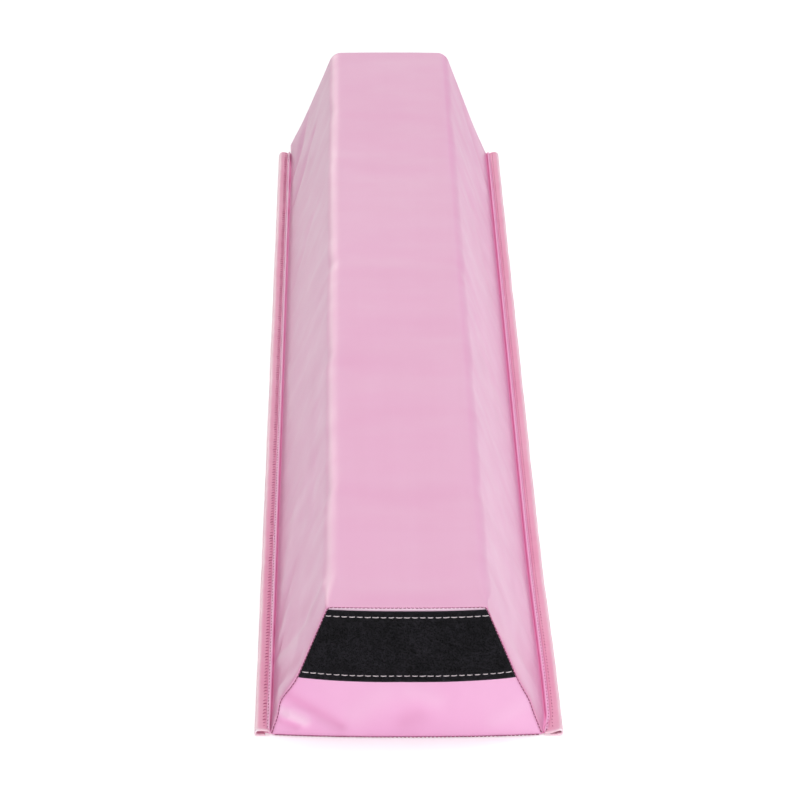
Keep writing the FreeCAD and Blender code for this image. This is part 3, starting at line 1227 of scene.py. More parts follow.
@dataclass(frozen=True)
class CoverWrap:
    """The one sheet over both sides and the top, with its margins turned out flat at the foot."""

    fine: Cells = Cells(14, 10, 34, 24)
    coarse: Cells = Cells(6, 3, 9, 4)
    row_step: float = 0.0048
    coarse_step: float = 0.009
    side_roll: float = 0.0010
    top_roll: float = 0.0004
    growth: float = 0.004
    pressure: float = 0.06
    most_lift: float = 0.0024
    slack: float = 0.35
    held_foot: float = 0.016
    held_rows: int = 9
    steps: int = 20

    def rows(self, step: float) -> tuple[Array, Array, Array, Array]:
        """Rows from the loop end to the hook end, the same both ways from the middle one.

        Args:
            step: distance between rows away from the ends.

        Returns:
            For each row the sign of its end, its distance from that end, how far along it lies in the
            rolled edge or nan past it, and how far that edge is rolled in. The last two are in roll radii.
        """
        turn = np.radians([170.0, 130.0, 100.0, 80.0, 60.0, 42.0, 24.0, 8.0])
        near = np.array([0.0030, 0.0042, 0.0058, 0.0080, 0.0110, 0.0148])
        count = int(round((SHAPE.sheet_end - near[-1]) / step))
        plain = np.concatenate([near, np.linspace(near[-1], SHAPE.sheet_end, count + 1)[1:]])
        half = len(turn) + len(plain)
        margin = np.concatenate([np.linspace(0, 0.0024, len(turn)), plain])
        roll_along = np.concatenate([1 - np.sin(turn), np.full(len(plain), np.nan)])
        roll_in = np.concatenate([1 - np.cos(turn), np.zeros(len(plain))])
        order = np.concatenate([np.arange(half), np.arange(half - 1)[::-1]])
        way = np.concatenate([-np.ones(half), np.ones(half - 1)])
        return way, margin[order], roll_along[order], roll_in[order]

    def section(self, reach: Array, cells: Cells) -> tuple[Array, Array, Array, Array]:
        """Section at each row: flat top, rounded long edges, sides and turned-out feet.

        Args:
            reach: distance of each row from the loop end.
            cells: cuts across half the section.

        Returns:
            X and height of each point, its face from -1 to 1, and its share in the body, not the margins.
        """
        count = len(reach)
        radius = SHAPE.radius(reach)[:, None]
        lean = math.atan2(1.0, SHAPE.slope)
        flat = SHAPE.crown - radius * math.tan(lean / 2)
        share = np.linspace(0, 1, cells.flat + 1)[None, :]
        top_x, top_z = flat * share, np.full((count, cells.flat + 1), SHAPE.height)
        bend = lean * np.linspace(0, 1, cells.edge + 1)[None, 1:]
        edge_x = flat + radius * np.sin(bend)
        edge_z = SHAPE.height - radius + radius * np.cos(bend)
        share = np.linspace(0, 1, cells.side + 1)[None, 1:]
        side_z = edge_z[:, -1:] + (FOOT_LINE[0][1] - edge_z[:, -1:]) * share
        foot = through(FOOT_LINE, cells.foot)[1:]
        foot_x = np.repeat(SHAPE.foot + foot[None, :, 0], count, axis=0)
        foot_z = np.repeat(foot[None, :, 1], count, axis=0)
        x = np.concatenate([top_x, edge_x, SHAPE.half_width(side_z), foot_x], axis=1)
        z = np.concatenate([top_z, edge_z, side_z, foot_z], axis=1)
        half = np.concatenate([np.full(cells.flat + 1, 0.0), np.linspace(0, 1, cells.edge + 1)[1:],
                               np.ones(cells.side + cells.foot)])
        on_body = np.concatenate([np.ones(cells.flat + 1 + cells.edge + cells.side),
                                  smoothstep(-0.0003, -0.0016, foot[:, 0])])
        face = np.concatenate([-half[:0:-1], half])[None, :].repeat(count, axis=0)
        x = np.concatenate([-x[:, :0:-1], x], axis=1)
        z = np.concatenate([z[:, :0:-1], z], axis=1)
        return x, z, face, np.concatenate([on_body[:0:-1], on_body])[None, :]

    def grid(self, cells: Cells, step: float) -> WrapGrid:
        """Lays out the wrap.

        Args:
            cells: cuts across half the section.
            step: distance between rows.

        Returns:
            The grid, before any folds and before it settles.
        """
        way, margin, roll_along, roll_in = (row[:, None] for row in self.rows(step))
        in_roll = ~np.isnan(roll_along)
        from_end = np.where(in_roll, 0.0, margin)
        reach = np.where(way < 0, from_end, 2 * SHAPE.half_length - from_end)
        x, z, face, on_body = self.section(reach[:, 0], cells)

        dx, dz = np.gradient(x, axis=1), np.gradient(z, axis=1)
        size = np.hypot(dx, dz)
        inward = np.stack([dz / size, np.zeros_like(x), -dx / size], axis=-1)
        steps = np.hypot(np.diff(x, axis=1), np.diff(z, axis=1))
        run = np.concatenate([np.zeros((len(way), 1)), np.cumsum(steps, axis=1)], axis=1)
        run -= run[:, [run.shape[1] // 2]]

        roll = self.top_roll + (self.side_roll - self.top_roll) * np.abs(face)
        depth = (roll * roll_in + SHAPE.tuck(from_end, z, np.abs(face))) * on_body
        body_end = np.where(in_roll, np.nan_to_num(roll_along) * roll, margin)
        # the margins stop short of the end where the binding covers them
        covered = smoothstep(SHAPE.foot + 0.0006, SHAPE.foot + 0.0022, np.abs(x))
        margin_end = margin + covered * 0.0030 * smoothstep(0.030, 0.0, margin)
        y_from_end = on_body * body_end + (1 - on_body) * margin_end
        swollen = SHAPE.end_swell(x, z) * on_body
        fade = smoothstep(0.045, 0.0, y_from_end)
        y = way * (SHAPE.sheet_end - SHAPE.end_gap - y_from_end + swollen * fade)
        points = np.stack([x, y, z], axis=-1) + inward * depth[..., None]
        level = np.where(np.abs(face) > 0.5, z, x)
        return WrapGrid(points, inward, run, y + SHAPE.half_length, face, level,
                        on_body.repeat(len(way), axis=0))

    def relaxed(self) -> tuple[WrapGrid, Array]:
        """Lets a coarse copy of the wrap find its own slack over the core, as cloth.

        Returns:
            The coarse grid and how far each of its points moved outwards, in metres.
        """
        grid = self.grid(self.coarse, self.coarse_step)
        rows, columns = grid.points.shape[:2]
        start = grid.points
        obj = sheet_mesh("wrap_cloth", start)
        held = obj.vertex_groups.new(name="held")
        fixed = grid.body < 0.98
        fixed[: self.held_rows], fixed[-self.held_rows :] = True, True
        low = np.abs(grid.run) > np.abs(grid.run[:, -1:]) - self.held_foot
        held.add(np.flatnonzero((fixed | low).ravel()).tolist(), 1.0, "REPLACE")
        cloth = obj.modifiers.new("cloth", "CLOTH")
        settings = {
            "quality": 5, "mass": 0.25, "tension_stiffness": 25, "compression_stiffness": 25,
            "shear_stiffness": 12, "bending_stiffness": 1.2, "air_damping": 3, "vertex_group_mass": "held",
            "shrink_min": -self.growth, "use_pressure": True, "uniform_pressure_force": self.pressure}
        for name, value in settings.items():
            setattr(cloth.settings, name, value)
        cloth.settings.effector_weights.gravity = 0
        cloth.collision_settings.use_collision = False
        cloth.point_cache.frame_start, cloth.point_cache.frame_end = 1, self.steps
        for step in range(1, self.steps + 1):
            bpy.context.scene.frame_set(step)
        graph = bpy.context.evaluated_depsgraph_get()
        shaped = obj.evaluated_get(graph).data
        places = np.empty(rows * columns * 3, np.float32)
        shaped.vertices.foreach_get("co", places)
        moved = places.reshape(rows, columns, 3).astype(float) - start
        bpy.data.objects.remove(obj)
        bpy.context.scene.frame_set(1)
        lift = -(moved * grid.inward).sum(axis=-1)
        LOG.info("cloth lift %.2f to %.2f mm", lift.min() / MM, lift.max() / MM)
        return grid, lift

    def carried(self, coarse: WrapGrid, lift: Array, grid: WrapGrid) -> Array:
        """Carries the coarse lift on to the fine grid, smoothly.

        Args:
            coarse: the grid that the cloth ran on.
            lift: its lift.
            grid: the fine grid.

        Returns:
            Lift for each fine point.
        """
        middle = coarse.run.shape[0] // 2
        across = coarse.run[middle]
        along = coarse.reach[:, coarse.reach.shape[1] // 2]
        tidy = np.maximum.accumulate(along + np.arange(len(along)) * 1e-7)
        by_row = np.stack([np.interp(grid.run[grid.run.shape[0] // 2], across, row) for row in lift])
        target = grid.reach[:, grid.reach.shape[1] // 2]
        full = np.stack([np.interp(target, tidy, column) for column in by_row.T], axis=1)
        for _ in range(3):
            full[1:-1] = (full[:-2] + 2 * full[1:-1] + full[2:]) / 4
            full[:, 1:-1] = (full[:, :-2] + 2 * full[:, 1:-1] + full[:, 2:]) / 4
        return np.clip(full, -self.most_lift, self.most_lift)

    def tint(self, grid: WrapGrid, raised: Array) -> Array:
        """Painted shade and highlight: deeper in the crevice, at the rolled ends and in the tight folds;
        paler on ridges, band, lip and left edge.

        Args:
            grid: the fine grid.
            raised: relief of the folds.

        Returns:
            Tint of each point: -2 near white painted highlight, -1 pale, 0 plain, 1 deep, 2 darkest painted
                shade.
        """
        x, z = np.abs(grid.points[..., 0]), grid.points[..., 2]
        nearest = np.minimum(grid.reach, 2 * SHAPE.half_length - grid.reach)
        right = grid.face > 0
        # painted shade: a dark line along the crevice at the foot of each side
        crevice = bell(x - SHAPE.foot, 0.00050) * (z < 0.006)
        crevice *= np.where(right, 0.75 * smoothstep(0.014, 0.030, grid.reach),
                            smoothstep(0.001, 0.010, nearest))
        # painted shade: the crevice's dark line ends in a short crease line that runs back into the right
        # corner
        along = np.clip((x - 0.0878) / 0.0032, 0, 1)
        crease = bell(grid.reach - 0.002 - 0.014 * along, 0.0016)
        crease = crease * (x > 0.0875) * (x < 0.0912) * right
        # painted highlight on the rolled band beside the crevice
        band = bell(x - 0.0896, 0.0011) * (z < 0.006) * np.where(right, 0.25, 0.6)
        # painted shade: deeper colour on the sides near the end seams
        seam = bell(nearest, 0.0085) * (np.abs(grid.face) > 0.6) * grid.body
        # painted shade: deeper colour low on the left side near the hook end, among its creases
        far_foot = bell(grid.reach - 1.12, 0.07) * bell(z - 0.018, 0.020)
        far_foot = far_foot * (grid.face < -0.6)
        # painted highlight: a pale stripe along the left rounded long edge
        edge = bell(grid.face + 0.50, 0.20) * smoothstep(0.0, 0.030, grid.reach)
        # painted highlight on fold ridges and painted shade in fold dents
        relief = raised * np.where(grid.face < -0.5, 1 / 0.0034, 1 / 0.008)
        # painted highlight on the lip of the rolled end, where a side meets an end
        lip = bell(nearest, 0.0014) * (np.abs(grid.face) > 0.6)
        lip = lip * np.where(right, 0.5, 1.3) * grid.body
        # painted sheen: the left side and the top grow a little paler towards the hook end
        painted_sheen = (0.10 + 0.50 * grid.reach) * smoothstep(-0.6, -1.0, grid.face)
        painted_sheen = painted_sheen + (0.22 + 0.25 * grid.reach) * smoothstep(0.4, 0.2, np.abs(grid.face))
        total = 1.9 * crevice + 1.2 * crease - band + 0.42 * seam + 0.28 * far_foot
        total = total - 0.75 * edge - painted_sheen - relief - lip
        return np.clip(total, -1.6, 2)

    def build(self) -> Object:
        """Builds the wrap: grid, cloth slack, folds and ripples, then its thickness.

        Returns:
            The wrap, a closed shell.
        """
        grid = self.grid(self.fine, self.row_step)
        lift = np.zeros(grid.run.shape)
        coarse, moved = self.relaxed()
        lift = self.carried(coarse, moved, grid)
        raised = sum(fold.height(grid.face, grid.reach, grid.level) for fold in FOLDS)
        sides = smoothstep(0.3, 1.0, np.abs(grid.face))
        wavy = swell(grid.run, grid.reach, 7, 0.035, 0.120, 1.1, 0.5) * 0.00016 * sides
        wavy += swell(grid.run, grid.reach, 12, 0.018, 0.060, 1.57, 0.25) * 0.00005
        inside = smoothstep(0.0, 0.030, SHAPE.half_length - np.abs(grid.points[..., 1]))
        off_foot = smoothstep(0.002, 0.012, grid.points[..., 2]) * grid.body
        out = (self.slack * lift + wavy) * inside * off_foot + raised * off_foot
        points = SHAPE.settle(grid.points - grid.inward * out[..., None])
        obj = sheet_mesh("wrap_skin", points, tint=self.tint(grid, raised))
        return thicken(obj, SHAPE.vinyl)


# Ends, strips and their sewing

# Soft folds of an end panel below its strip, from one (X, height) to another
PANEL_FOLDS = [
    Fold(Face.TOP, (-0.083, 0.0178), (-0.066, 0.0105), 0.0036, 0.0024),
    Fold(Face.TOP, (-0.076, 0.0275), (-0.043, 0.0075), 0.0042, -0.0010),
    Fold(Face.TOP, (-0.082, 0.0105), (-0.072, 0.0065), 0.0028, -0.0008),
    Fold(Face.TOP, (-0.002, 0.0110), (0.006, 0.0150), 0.0070, -0.0006),
    Fold(Face.TOP, (0.002, 0.0320), (0.018, 0.0260), 0.0070, 0.0007),
    Fold(Face.TOP, (-0.034, 0.0150), (-0.016, 0.0300), 0.0090, 0.0006),
    Fold(Face.TOP, (0.056, 0.0100), (0.080, 0.0240), 0.0060, 0.0005),
]


@dataclass(frozen=True)
class EndPanel:
    """The sewn-in panel that closes one end of the cover."""

    end: End
    rows: int = 62
    columns: int = 116
    side_inset: float = 0.0008
    top_inset: float = 0.0005
    low: float = 0.0003
    groove: float = 0.0006
    soft: float = 0.0010
    thread_lift: float = 0.0005

    @property
    def top(self) -> float:
        """Height of the panel's upper edge."""
        return SHAPE.height - self.top_inset - SHAPE.top_tuck

    def half_at(self, level: Array) -> Array:
        """Half width of the panel at a height, with its upper corners rounded.

        Args:
            level: height.

        Returns:
            Metres from the middle plane.
        """
        inset = self.side_inset + SHAPE.tuck(np.zeros_like(level), level, np.ones_like(level))
        radius = SHAPE.end_radius if self.end is End.LOOP else SHAPE.long_radius
        outline = SHAPE.outline(np.minimum(level + self.top_inset + SHAPE.top_tuck, SHAPE.height), radius)
        return outline - inset / math.cos(math.atan(SHAPE.slope))

    def relief(self, x: Array, z: Array) -> Array:
        """How far the panel stands out from the plane of the end: swell, seam groove and soft folds.

        Args:
            x: place across.
            z: height.

        Returns:
            Metres outwards.
        """
        half = self.half_at(z)
        side = (half - np.abs(x)) * 0.925
        edge = np.minimum(np.minimum(side, self.top - z), (z - self.low) * 0.9)
        stand = 0.0004 - self.groove * np.exp(-np.clip(edge, 0, 1) / self.soft)
        soft = swell(x, z, 21 + self.end.value, 0.030, 0.085, 0.6, 0.7) * 0.00015
        folds = sum(fold.height(np.zeros_like(x), x, z) for fold in PANEL_FOLDS)
        return stand + (soft + folds) * smoothstep(0.001, 0.007, edge)

    def place(self, x: Array, z: Array, lift: Array | float = 0.0) -> Array:
        """Point on the panel.

        Args:
            x: place across.
            z: height.
            lift: extra metres outwards.

        Returns:
            (..., 3) places, settled.
        """
        out = SHAPE.sheet_end - SHAPE.end_gap + SHAPE.end_swell(x, z) + self.relief(x, z) + lift
        return SHAPE.settle(np.stack([x, self.end.value * out, z], axis=-1))

    def grid(self) -> Array:
        """Points of the panel, closer together towards its edges.

        Returns:
            (rows, columns, 3) places.
        """
        across, up = (0.45 * even + 0.55 * np.sin(even * math.pi / 2)
                      for even in (np.linspace(-1, 1, count) for count in (self.columns, self.rows)))
        z = (self.low + (self.top - self.low) * (up + 1) / 2)[:, None].repeat(self.columns, axis=1)
        return self.place(self.half_at(z) * across[None, :], z)

    def build(self) -> Object:
        """Builds the panel with its thickness.

        Returns:
            The panel, a closed shell.
        """
        points = self.grid()
        x, z = points[..., 0], points[..., 2]
        row, column = (np.arange(count) for count in (self.rows, self.columns))
        # painted shade along the seam groove at the panel's border, painted highlight on fold ridges with
        # painted shade in their dents, and a painted highlight on the ridge under the top seam
        nearest = np.minimum(np.minimum(row, row[::-1])[:, None], np.minimum(column, column[::-1])[None, :])
        relief = sum(fold.height(np.zeros_like(x), x, z) for fold in PANEL_FOLDS)
        tint = 0.30 * np.exp(-nearest / 2.0) - relief / 0.0030 - 1.4 * smoothstep(0.0872, 0.0884, z)
        name = "end_panel_" + self.end.name.lower()
        obj = sheet_mesh(name, points, flip=self.end is End.HOOK, tint=tint)
        return thicken(obj, SHAPE.vinyl)

    def seam_lines(self) -> list[Array]:
        """The two seam lines.

        Returns:
            The line round the sides and top, and the line along the bottom.
        """
        points = self.grid()
        points[..., 1] += self.end.value * self.thread_lift
        around = np.vstack([points[3:, 0], points[-1, 1:-1], points[-1:2:-1, -1]])
        return [around, points[0, 4:-4]]


@dataclass(frozen=True)
class TapeStrip:
    """Hook-and-loop tape across an end panel: woven ground, pile or hooks, and two rows of stitches."""

    panel: EndPanel
    low: float = 0.0412
    high: float = 0.0883
    row: float = 0.0041
    thickness: float = 0.0012
    gap: float = 0.0002
    low_sag: float = 0.0021
    high_sag: float = 0.0007
    selvedge: float = 0.0009
    hook_pitch: float = 0.0016
    rows: int = 40
    pile_rows: int = 121
    columns: int = 96

    @property
    def end(self) -> End:
        """The end that the strip is sewn to."""
        return self.panel.end

    @property
    def facing(self) -> Place:
        """The way that the strip faces."""
        return (0.0, float(self.end.value), 0.0)

    @property
    def stitch_rows(self) -> tuple[float, float]:
        """Heights of the two rows of stitches."""
        return self.low + self.row, self.high - self.row

    def place(self, share: Array, level: Array, lift: float = 0.0) -> Array:
        """Point on the strip's face.

        Args:
            share: place across, -1 to 1.
            level: height before the tape's sag.
            lift: extra metres outwards.

        Returns:
            (..., 3) places.
        """
        up = (level - self.low) / (self.high - self.low)
        z = level - (self.low_sag + (self.high_sag - self.low_sag) * up) * (1 - np.abs(share) ** 3)
        x = share * (self.panel.half_at(z) - self.gap)
        pressed = sum(bell(level - at, 0.0010) for at in self.stitch_rows)
        edge = np.minimum(level - self.low, self.high - level)
        wear_and_highlight = 0.00035 * np.exp(-np.clip(edge, 0, 1) / 0.0006)
        return self.panel.place(x, z, self.thickness + 0.0001 - 0.0003 * pressed - wear_and_highlight + lift)

    def ground(self) -> Array:
        """Grid of points on the strip's face.

        Returns:
            (rows, columns, 3) places.
        """
        share = np.linspace(-1, 1, self.columns)[None, :].repeat(self.rows, axis=0)
        level = np.linspace(self.low, self.high, self.rows)[:, None].repeat(self.columns, axis=1)
        return self.place(share, level)

    def build(self) -> Object:
        """Builds the woven ground with its thickness."""
        obj = sheet_mesh(self.end.name.lower() + "_tape", self.ground(), flip=self.end is End.HOOK)
        return thicken(obj, self.thickness)

    def clear_of_rows(self, level: Array, room: float) -> Array:
        """Whether a height is clear of the stitch rows and the tape's edges.

        Args:
            level: heights to judge.
            room: least distance from a stitch row.

        Returns:
            A truth for each height.
        """
        keep = (level > self.low + self.selvedge) & (level < self.high - self.selvedge)
        for at in self.stitch_rows:
            keep &= np.abs(level - at) > room
        return keep

    def pile(self, yarn: Material) -> Object:
        """Covers the ground in small loops.

        Args:
            yarn: the material of the loops.

        Returns:
            The loops as one plain mesh.
        """
        share = np.linspace(-0.988, 0.988, self.columns)[None, :].repeat(self.pile_rows, axis=0)
        level = np.linspace(self.low, self.high, self.pile_rows)[:, None].repeat(self.columns, axis=1)
        middle = (level[:-1, :-1] + level[1:, 1:]) / 2
        faces = grid_faces(self.pile_rows, self.columns, self.clear_of_rows(middle, 0.0008))
        mesh = bpy.data.meshes.new("pile_ground")
        mesh.from_pydata(self.place(share, level).reshape(-1, 3).tolist(), [], faces.tolist())
        mesh.update()
        return grown("loop_pile", pile_group(), mesh, {
            "Density": 1.05e6, "Loop Size": 0.0013, "Loop Height": 0.00075, "Seed": 4, "Yarn": yarn})

    def hooks(self, nylon: Material) -> Object:
        """Stands rows of bent hooks on the ground, every other row half a pitch over.

        Args:
            nylon: the material of the hooks.

        Returns:
            The hooks as one plain mesh.
        """
        field = []
        levels = np.arange(self.low + 0.0012, self.high - 0.001, self.hook_pitch)
        for number, level in enumerate(levels[self.clear_of_rows(levels, 0.0009)]):
            half = float(self.panel.half_at(np.array(level))) - 0.0022
            count = int(2 * half / self.hook_pitch)
            x = (np.arange(count) + (0.5 if number % 2 else 0.0)) * self.hook_pitch - half
            field.append(self.place(x / (half + 0.0018), np.full(count, level)))
        mesh = bpy.data.meshes.new("hook_field")
        mesh.from_pydata(np.vstack(field).tolist(), [], [])
        return grown("hook_field", hook_group(), mesh, {
            "Hook Height": 0.0012, "Facing": self.facing, "Seed": 5, "Nylon": nylon})

    def stitches(self, thread: Material) -> Object:
        """Sews the two rows that hold the tape.

        Args:
            thread: the material of the thread.

        Returns:
            The stitches as one plain mesh.
        """
        share = np.linspace(-0.955, 0.955, 120)
        lines = [self.place(share, np.full(share.shape, at), 0.0003) for at in self.stitch_rows]
        name = self.end.name.lower() + "_tape_stitches"
        return TAPE_SEAM.sew(name, lines, self.facing, 31 + self.end.value, thread)


# Flanges, base and core


@dataclass(frozen=True)
class Binding:
    """The folded strip sewn over the raw edges of one flange, and the flange's two rows of stitches."""

    side: Side
    edge: float = 0.0985
    wall: float = 0.00095
    pitch: float = 0.0050
    row_step: float = 0.00125
    outer_row: tuple[float, float] = (0.0927, 0.00378)
    inner_row: tuple[float, float] = (0.09010, 0.00345)
    far_gap: float = 0.0045
    far_round: float = 0.0030
    cells: int = 20

    def grid(self) -> Array:
        """Points of the fold: over the top, round the outer edge and back underneath.

        Returns:
            (rows, cells + 1, 3) places, settled.
        """
        profile = through([
            (0.0076, 0.00285), (0.0069, 0.00345), (0.0058, 0.00374), (0.0044, 0.00392), (0.0026, 0.00400),
            (0.0011, 0.00370), (0.00025, 0.0028), (0.0, 0.0018), (0.0002, 0.0009), (0.0009, 0.0002),
            (0.0022, 0.00004), (0.0038, 0.00004), (0.0053, 0.00004)], self.cells)
        count = int(2 * SHAPE.half_length / self.row_step)
        y = np.linspace(-SHAPE.half_length, SHAPE.half_length - self.far_gap, count + 1)[:, None]
        inner, z = profile[None, :, 0] + 0 * y, profile[None, :, 1] + 0 * y
        upper = smoothstep(0.0012, 0.0032, z)
        near_row = bell(inner - 0.0058, 0.0012) * upper
        pull = np.cos(2 * math.pi * y / self.pitch)
        z = z - 0.00014 * near_row * (0.5 + 0.5 * pull)
        z = z + upper * 0.00016 * swell(inner * 0, y, 41 + self.side.value, 0.012, 0.060, 1.57, 0.1)
        edge_wander = 0.00022 * swell(inner * 0, y, 51 + self.side.value, 0.03, 0.20, 1.57, 0.1)
        edge_wander = edge_wander + 0.00008 * (1 - upper) * pull
        # at the loop end the cut fold is a flattened loop over the whole flange
        mouth = bell(SHAPE.half_length + y, 0.0045)
        inner = inner * (1 + 0.30 * mouth)
        if self.side is Side.LEFT:
            z = z + mouth * 0.0005 * upper
        else:
            sunk = mouth * 0.0013 * smoothstep(0.0030, 0.0070, inner) * upper
            z = z - sunk + mouth * 0.0006 * (inner < 0.0030)
        x = self.edge - inner + edge_wander * smoothstep(0.0049, 0.001, inner)
        close = np.clip(1 - (y[-1, 0] - y) / self.far_round, 0, 1)
        x = np.minimum(x, self.edge - self.far_round * (1 - np.sqrt(1 - close**2)))
        return SHAPE.settle(np.stack([self.side.value * x, y + 0 * x, np.maximum(z, 0.00004)], axis=-1))

    def build(self) -> Object:
        """Builds the fold with its thickness.

        Returns:
            The binding, a closed shell.
        """
        points = self.grid()
        number = np.arange(self.cells + 1)
        # painted shade a little deeper by the inner edge of the top leg, and a painted highlight along the
        # rounded outer fold
        row = 0.12 * bell(number - 1.6, 1.5) - 1.1 * bell(number - 9.5, 1.9)
        row = row[None, :].repeat(len(points), axis=0)
        # painted highlight: paler at the cut ends of the fold at the loop end
        ends = bell(SHAPE.half_length + points[..., 1], 0.0016)
        name = "binding_fold_" + self.side.name.lower()
        obj = sheet_mesh(name, points, flip=self.side is Side.LEFT, tint=row - 0.9 * ends)
        return thicken(obj, self.wall)

    def stitches(self, thread: Material) -> Object:
        """Sews the outer row on the binding and the fine inner row on the band.

        Args:
            thread: the material of the thread.

        Returns:
            Both rows as one plain mesh.
        """
        y = np.linspace(-SHAPE.sheet_end + 0.006, SHAPE.sheet_end - 0.008, 480)
        name = "flange_stitches_" + self.side.name.lower()
        rows = []
        for seam, (x, z), label, seed in zip(FLANGE_SEAMS[self.side], (self.outer_row, self.inner_row),
                                             (name, name + "_inner"), (61, 67)):
            line = SHAPE.settle(np.stack([self.side.value * x + 0 * y, y, z + 0 * y], axis=-1))
            rows.append(seam.sew(label, [line], UP, seed, thread))
        return joined(name, rows)


@dataclass(frozen=True)
class BaseSheet:
    """The sheet under the core, with the zip's slot and the hem turned back round it."""

    edge: float = 0.0977
    slot_half: float = 0.0080
    slot_end: float = 0.545
    hem: float = 0.0070
    hem_wall: float = 0.00085
    lift: float = 0.0006
    row_step: float = 0.010

    def floor_line(self, x: Array, y: Array) -> Array:
        """Height of the sheet's lower face: flat, lifted round the slot and up on to the binding.

        Args:
            x: place across.
            y: place along.

        Returns:
            Metres above the floor.
        """
        x = np.abs(x)
        pad = smoothstep(0.0185, 0.0155, x)
        pad = pad * smoothstep(self.slot_end + 0.011, self.slot_end + 0.0075, np.abs(y))
        soft = swell(x, y, 71, 0.05, 0.16, 0.8, 0.8) * 0.00006
        return 0.00012 + np.abs(soft) + pad * (self.lift - 0.00005) + smoothstep(0.0920, 0.0937, x) * 0.00075

    def turned_hem(self, line: Array, outward: tuple[float, float], flip: bool) -> Object:
        """Hem folded over one edge of the slot.

        Args:
            line: points along the edge.
            outward: direction in plan from the slot into the sheet.
            flip: turns the faces over.

        Returns:
            The fold with its thickness.
        """
        profile = through([(self.hem, 0.00255), (0.0040, 0.00255), (0.0012, 0.00250), (0.00015, 0.0021),
                           (0.0, 0.0016), (0.00015, 0.0010), (0.0010, 0.00060), (0.0030, 0.00056)], 14)
        way = np.array([outward[0], outward[1], 0.0])
        points = line[:, None, :] + profile[None, :, :1] * way + np.array(UP) * profile[None, :, 1:]
        obj = sheet_mesh("hem", points, flip=flip, tint=np.zeros(points.shape[:2]))
        return thicken(obj, self.hem_wall)

    def build(self) -> Object:
        """Builds the sheet and joins its hem.

        Returns:
            The sheet, with closed shells for its walls.
        """
        slot = self.slot_half + 0.0009
        half = np.concatenate([np.linspace(0, slot, 5), np.linspace(slot, 0.022, 11)[1:],
                               np.linspace(0.022, 0.091, 12)[1:], np.linspace(0.091, self.edge, 9)[1:]])
        x = np.concatenate([-half[:0:-1], half])
        slot_y = self.slot_end + 0.0009
        out = np.concatenate([np.linspace(0, slot_y, 55), np.linspace(slot_y, slot_y + 0.014, 9)[1:],
                              np.linspace(slot_y + 0.014, SHAPE.sheet_end, 6)[1:]])
        y = np.concatenate([-out[:0:-1], out])
        grid_x, grid_y = np.meshgrid(x, y)
        middle_x, middle_y = ((g[:-1, :-1] + g[1:, 1:]) / 2 for g in (grid_x, grid_y))
        keep = ~((np.abs(middle_x) < slot) & (np.abs(middle_y) < slot_y))
        z = self.floor_line(grid_x, grid_y)
        stand = SHAPE.end_swell(grid_x, 0 * grid_x) * (np.abs(grid_x) < SHAPE.foot)
        fade = smoothstep(0.035, 0.0, SHAPE.sheet_end - np.abs(grid_y))
        grid_y = grid_y + np.sign(grid_y) * (stand - 0.0014 - 0.0020 * (np.abs(grid_x) > SHAPE.foot)) * fade
        points = SHAPE.settle(np.stack([grid_x, grid_y, z], axis=-1))
        # painted shade: a little deeper along the sheet's end edges
        rim = bell(SHAPE.sheet_end - np.abs(grid_y), 0.003)
        sheet = thicken(sheet_mesh("base_sheet", points, keep, flip=True, tint=0.3 * rim), SHAPE.vinyl)
        y = np.linspace(-self.slot_end, self.slot_end, 120)
        x = np.linspace(-self.slot_half, self.slot_half, 7)
        parts = [sheet]
        for sign in (-1, 1):
            long_edge = np.stack([sign * self.slot_half + 0 * y, y, 0 * y], axis=-1)
            short_edge = np.stack([x, sign * self.slot_end + 0 * x, 0 * x], axis=-1)
            parts.append(self.turned_hem(long_edge, (sign, 0), flip=sign > 0))
            parts.append(self.turned_hem(short_edge, (0, sign), flip=sign < 0))
        return joined("base_sheet", parts)


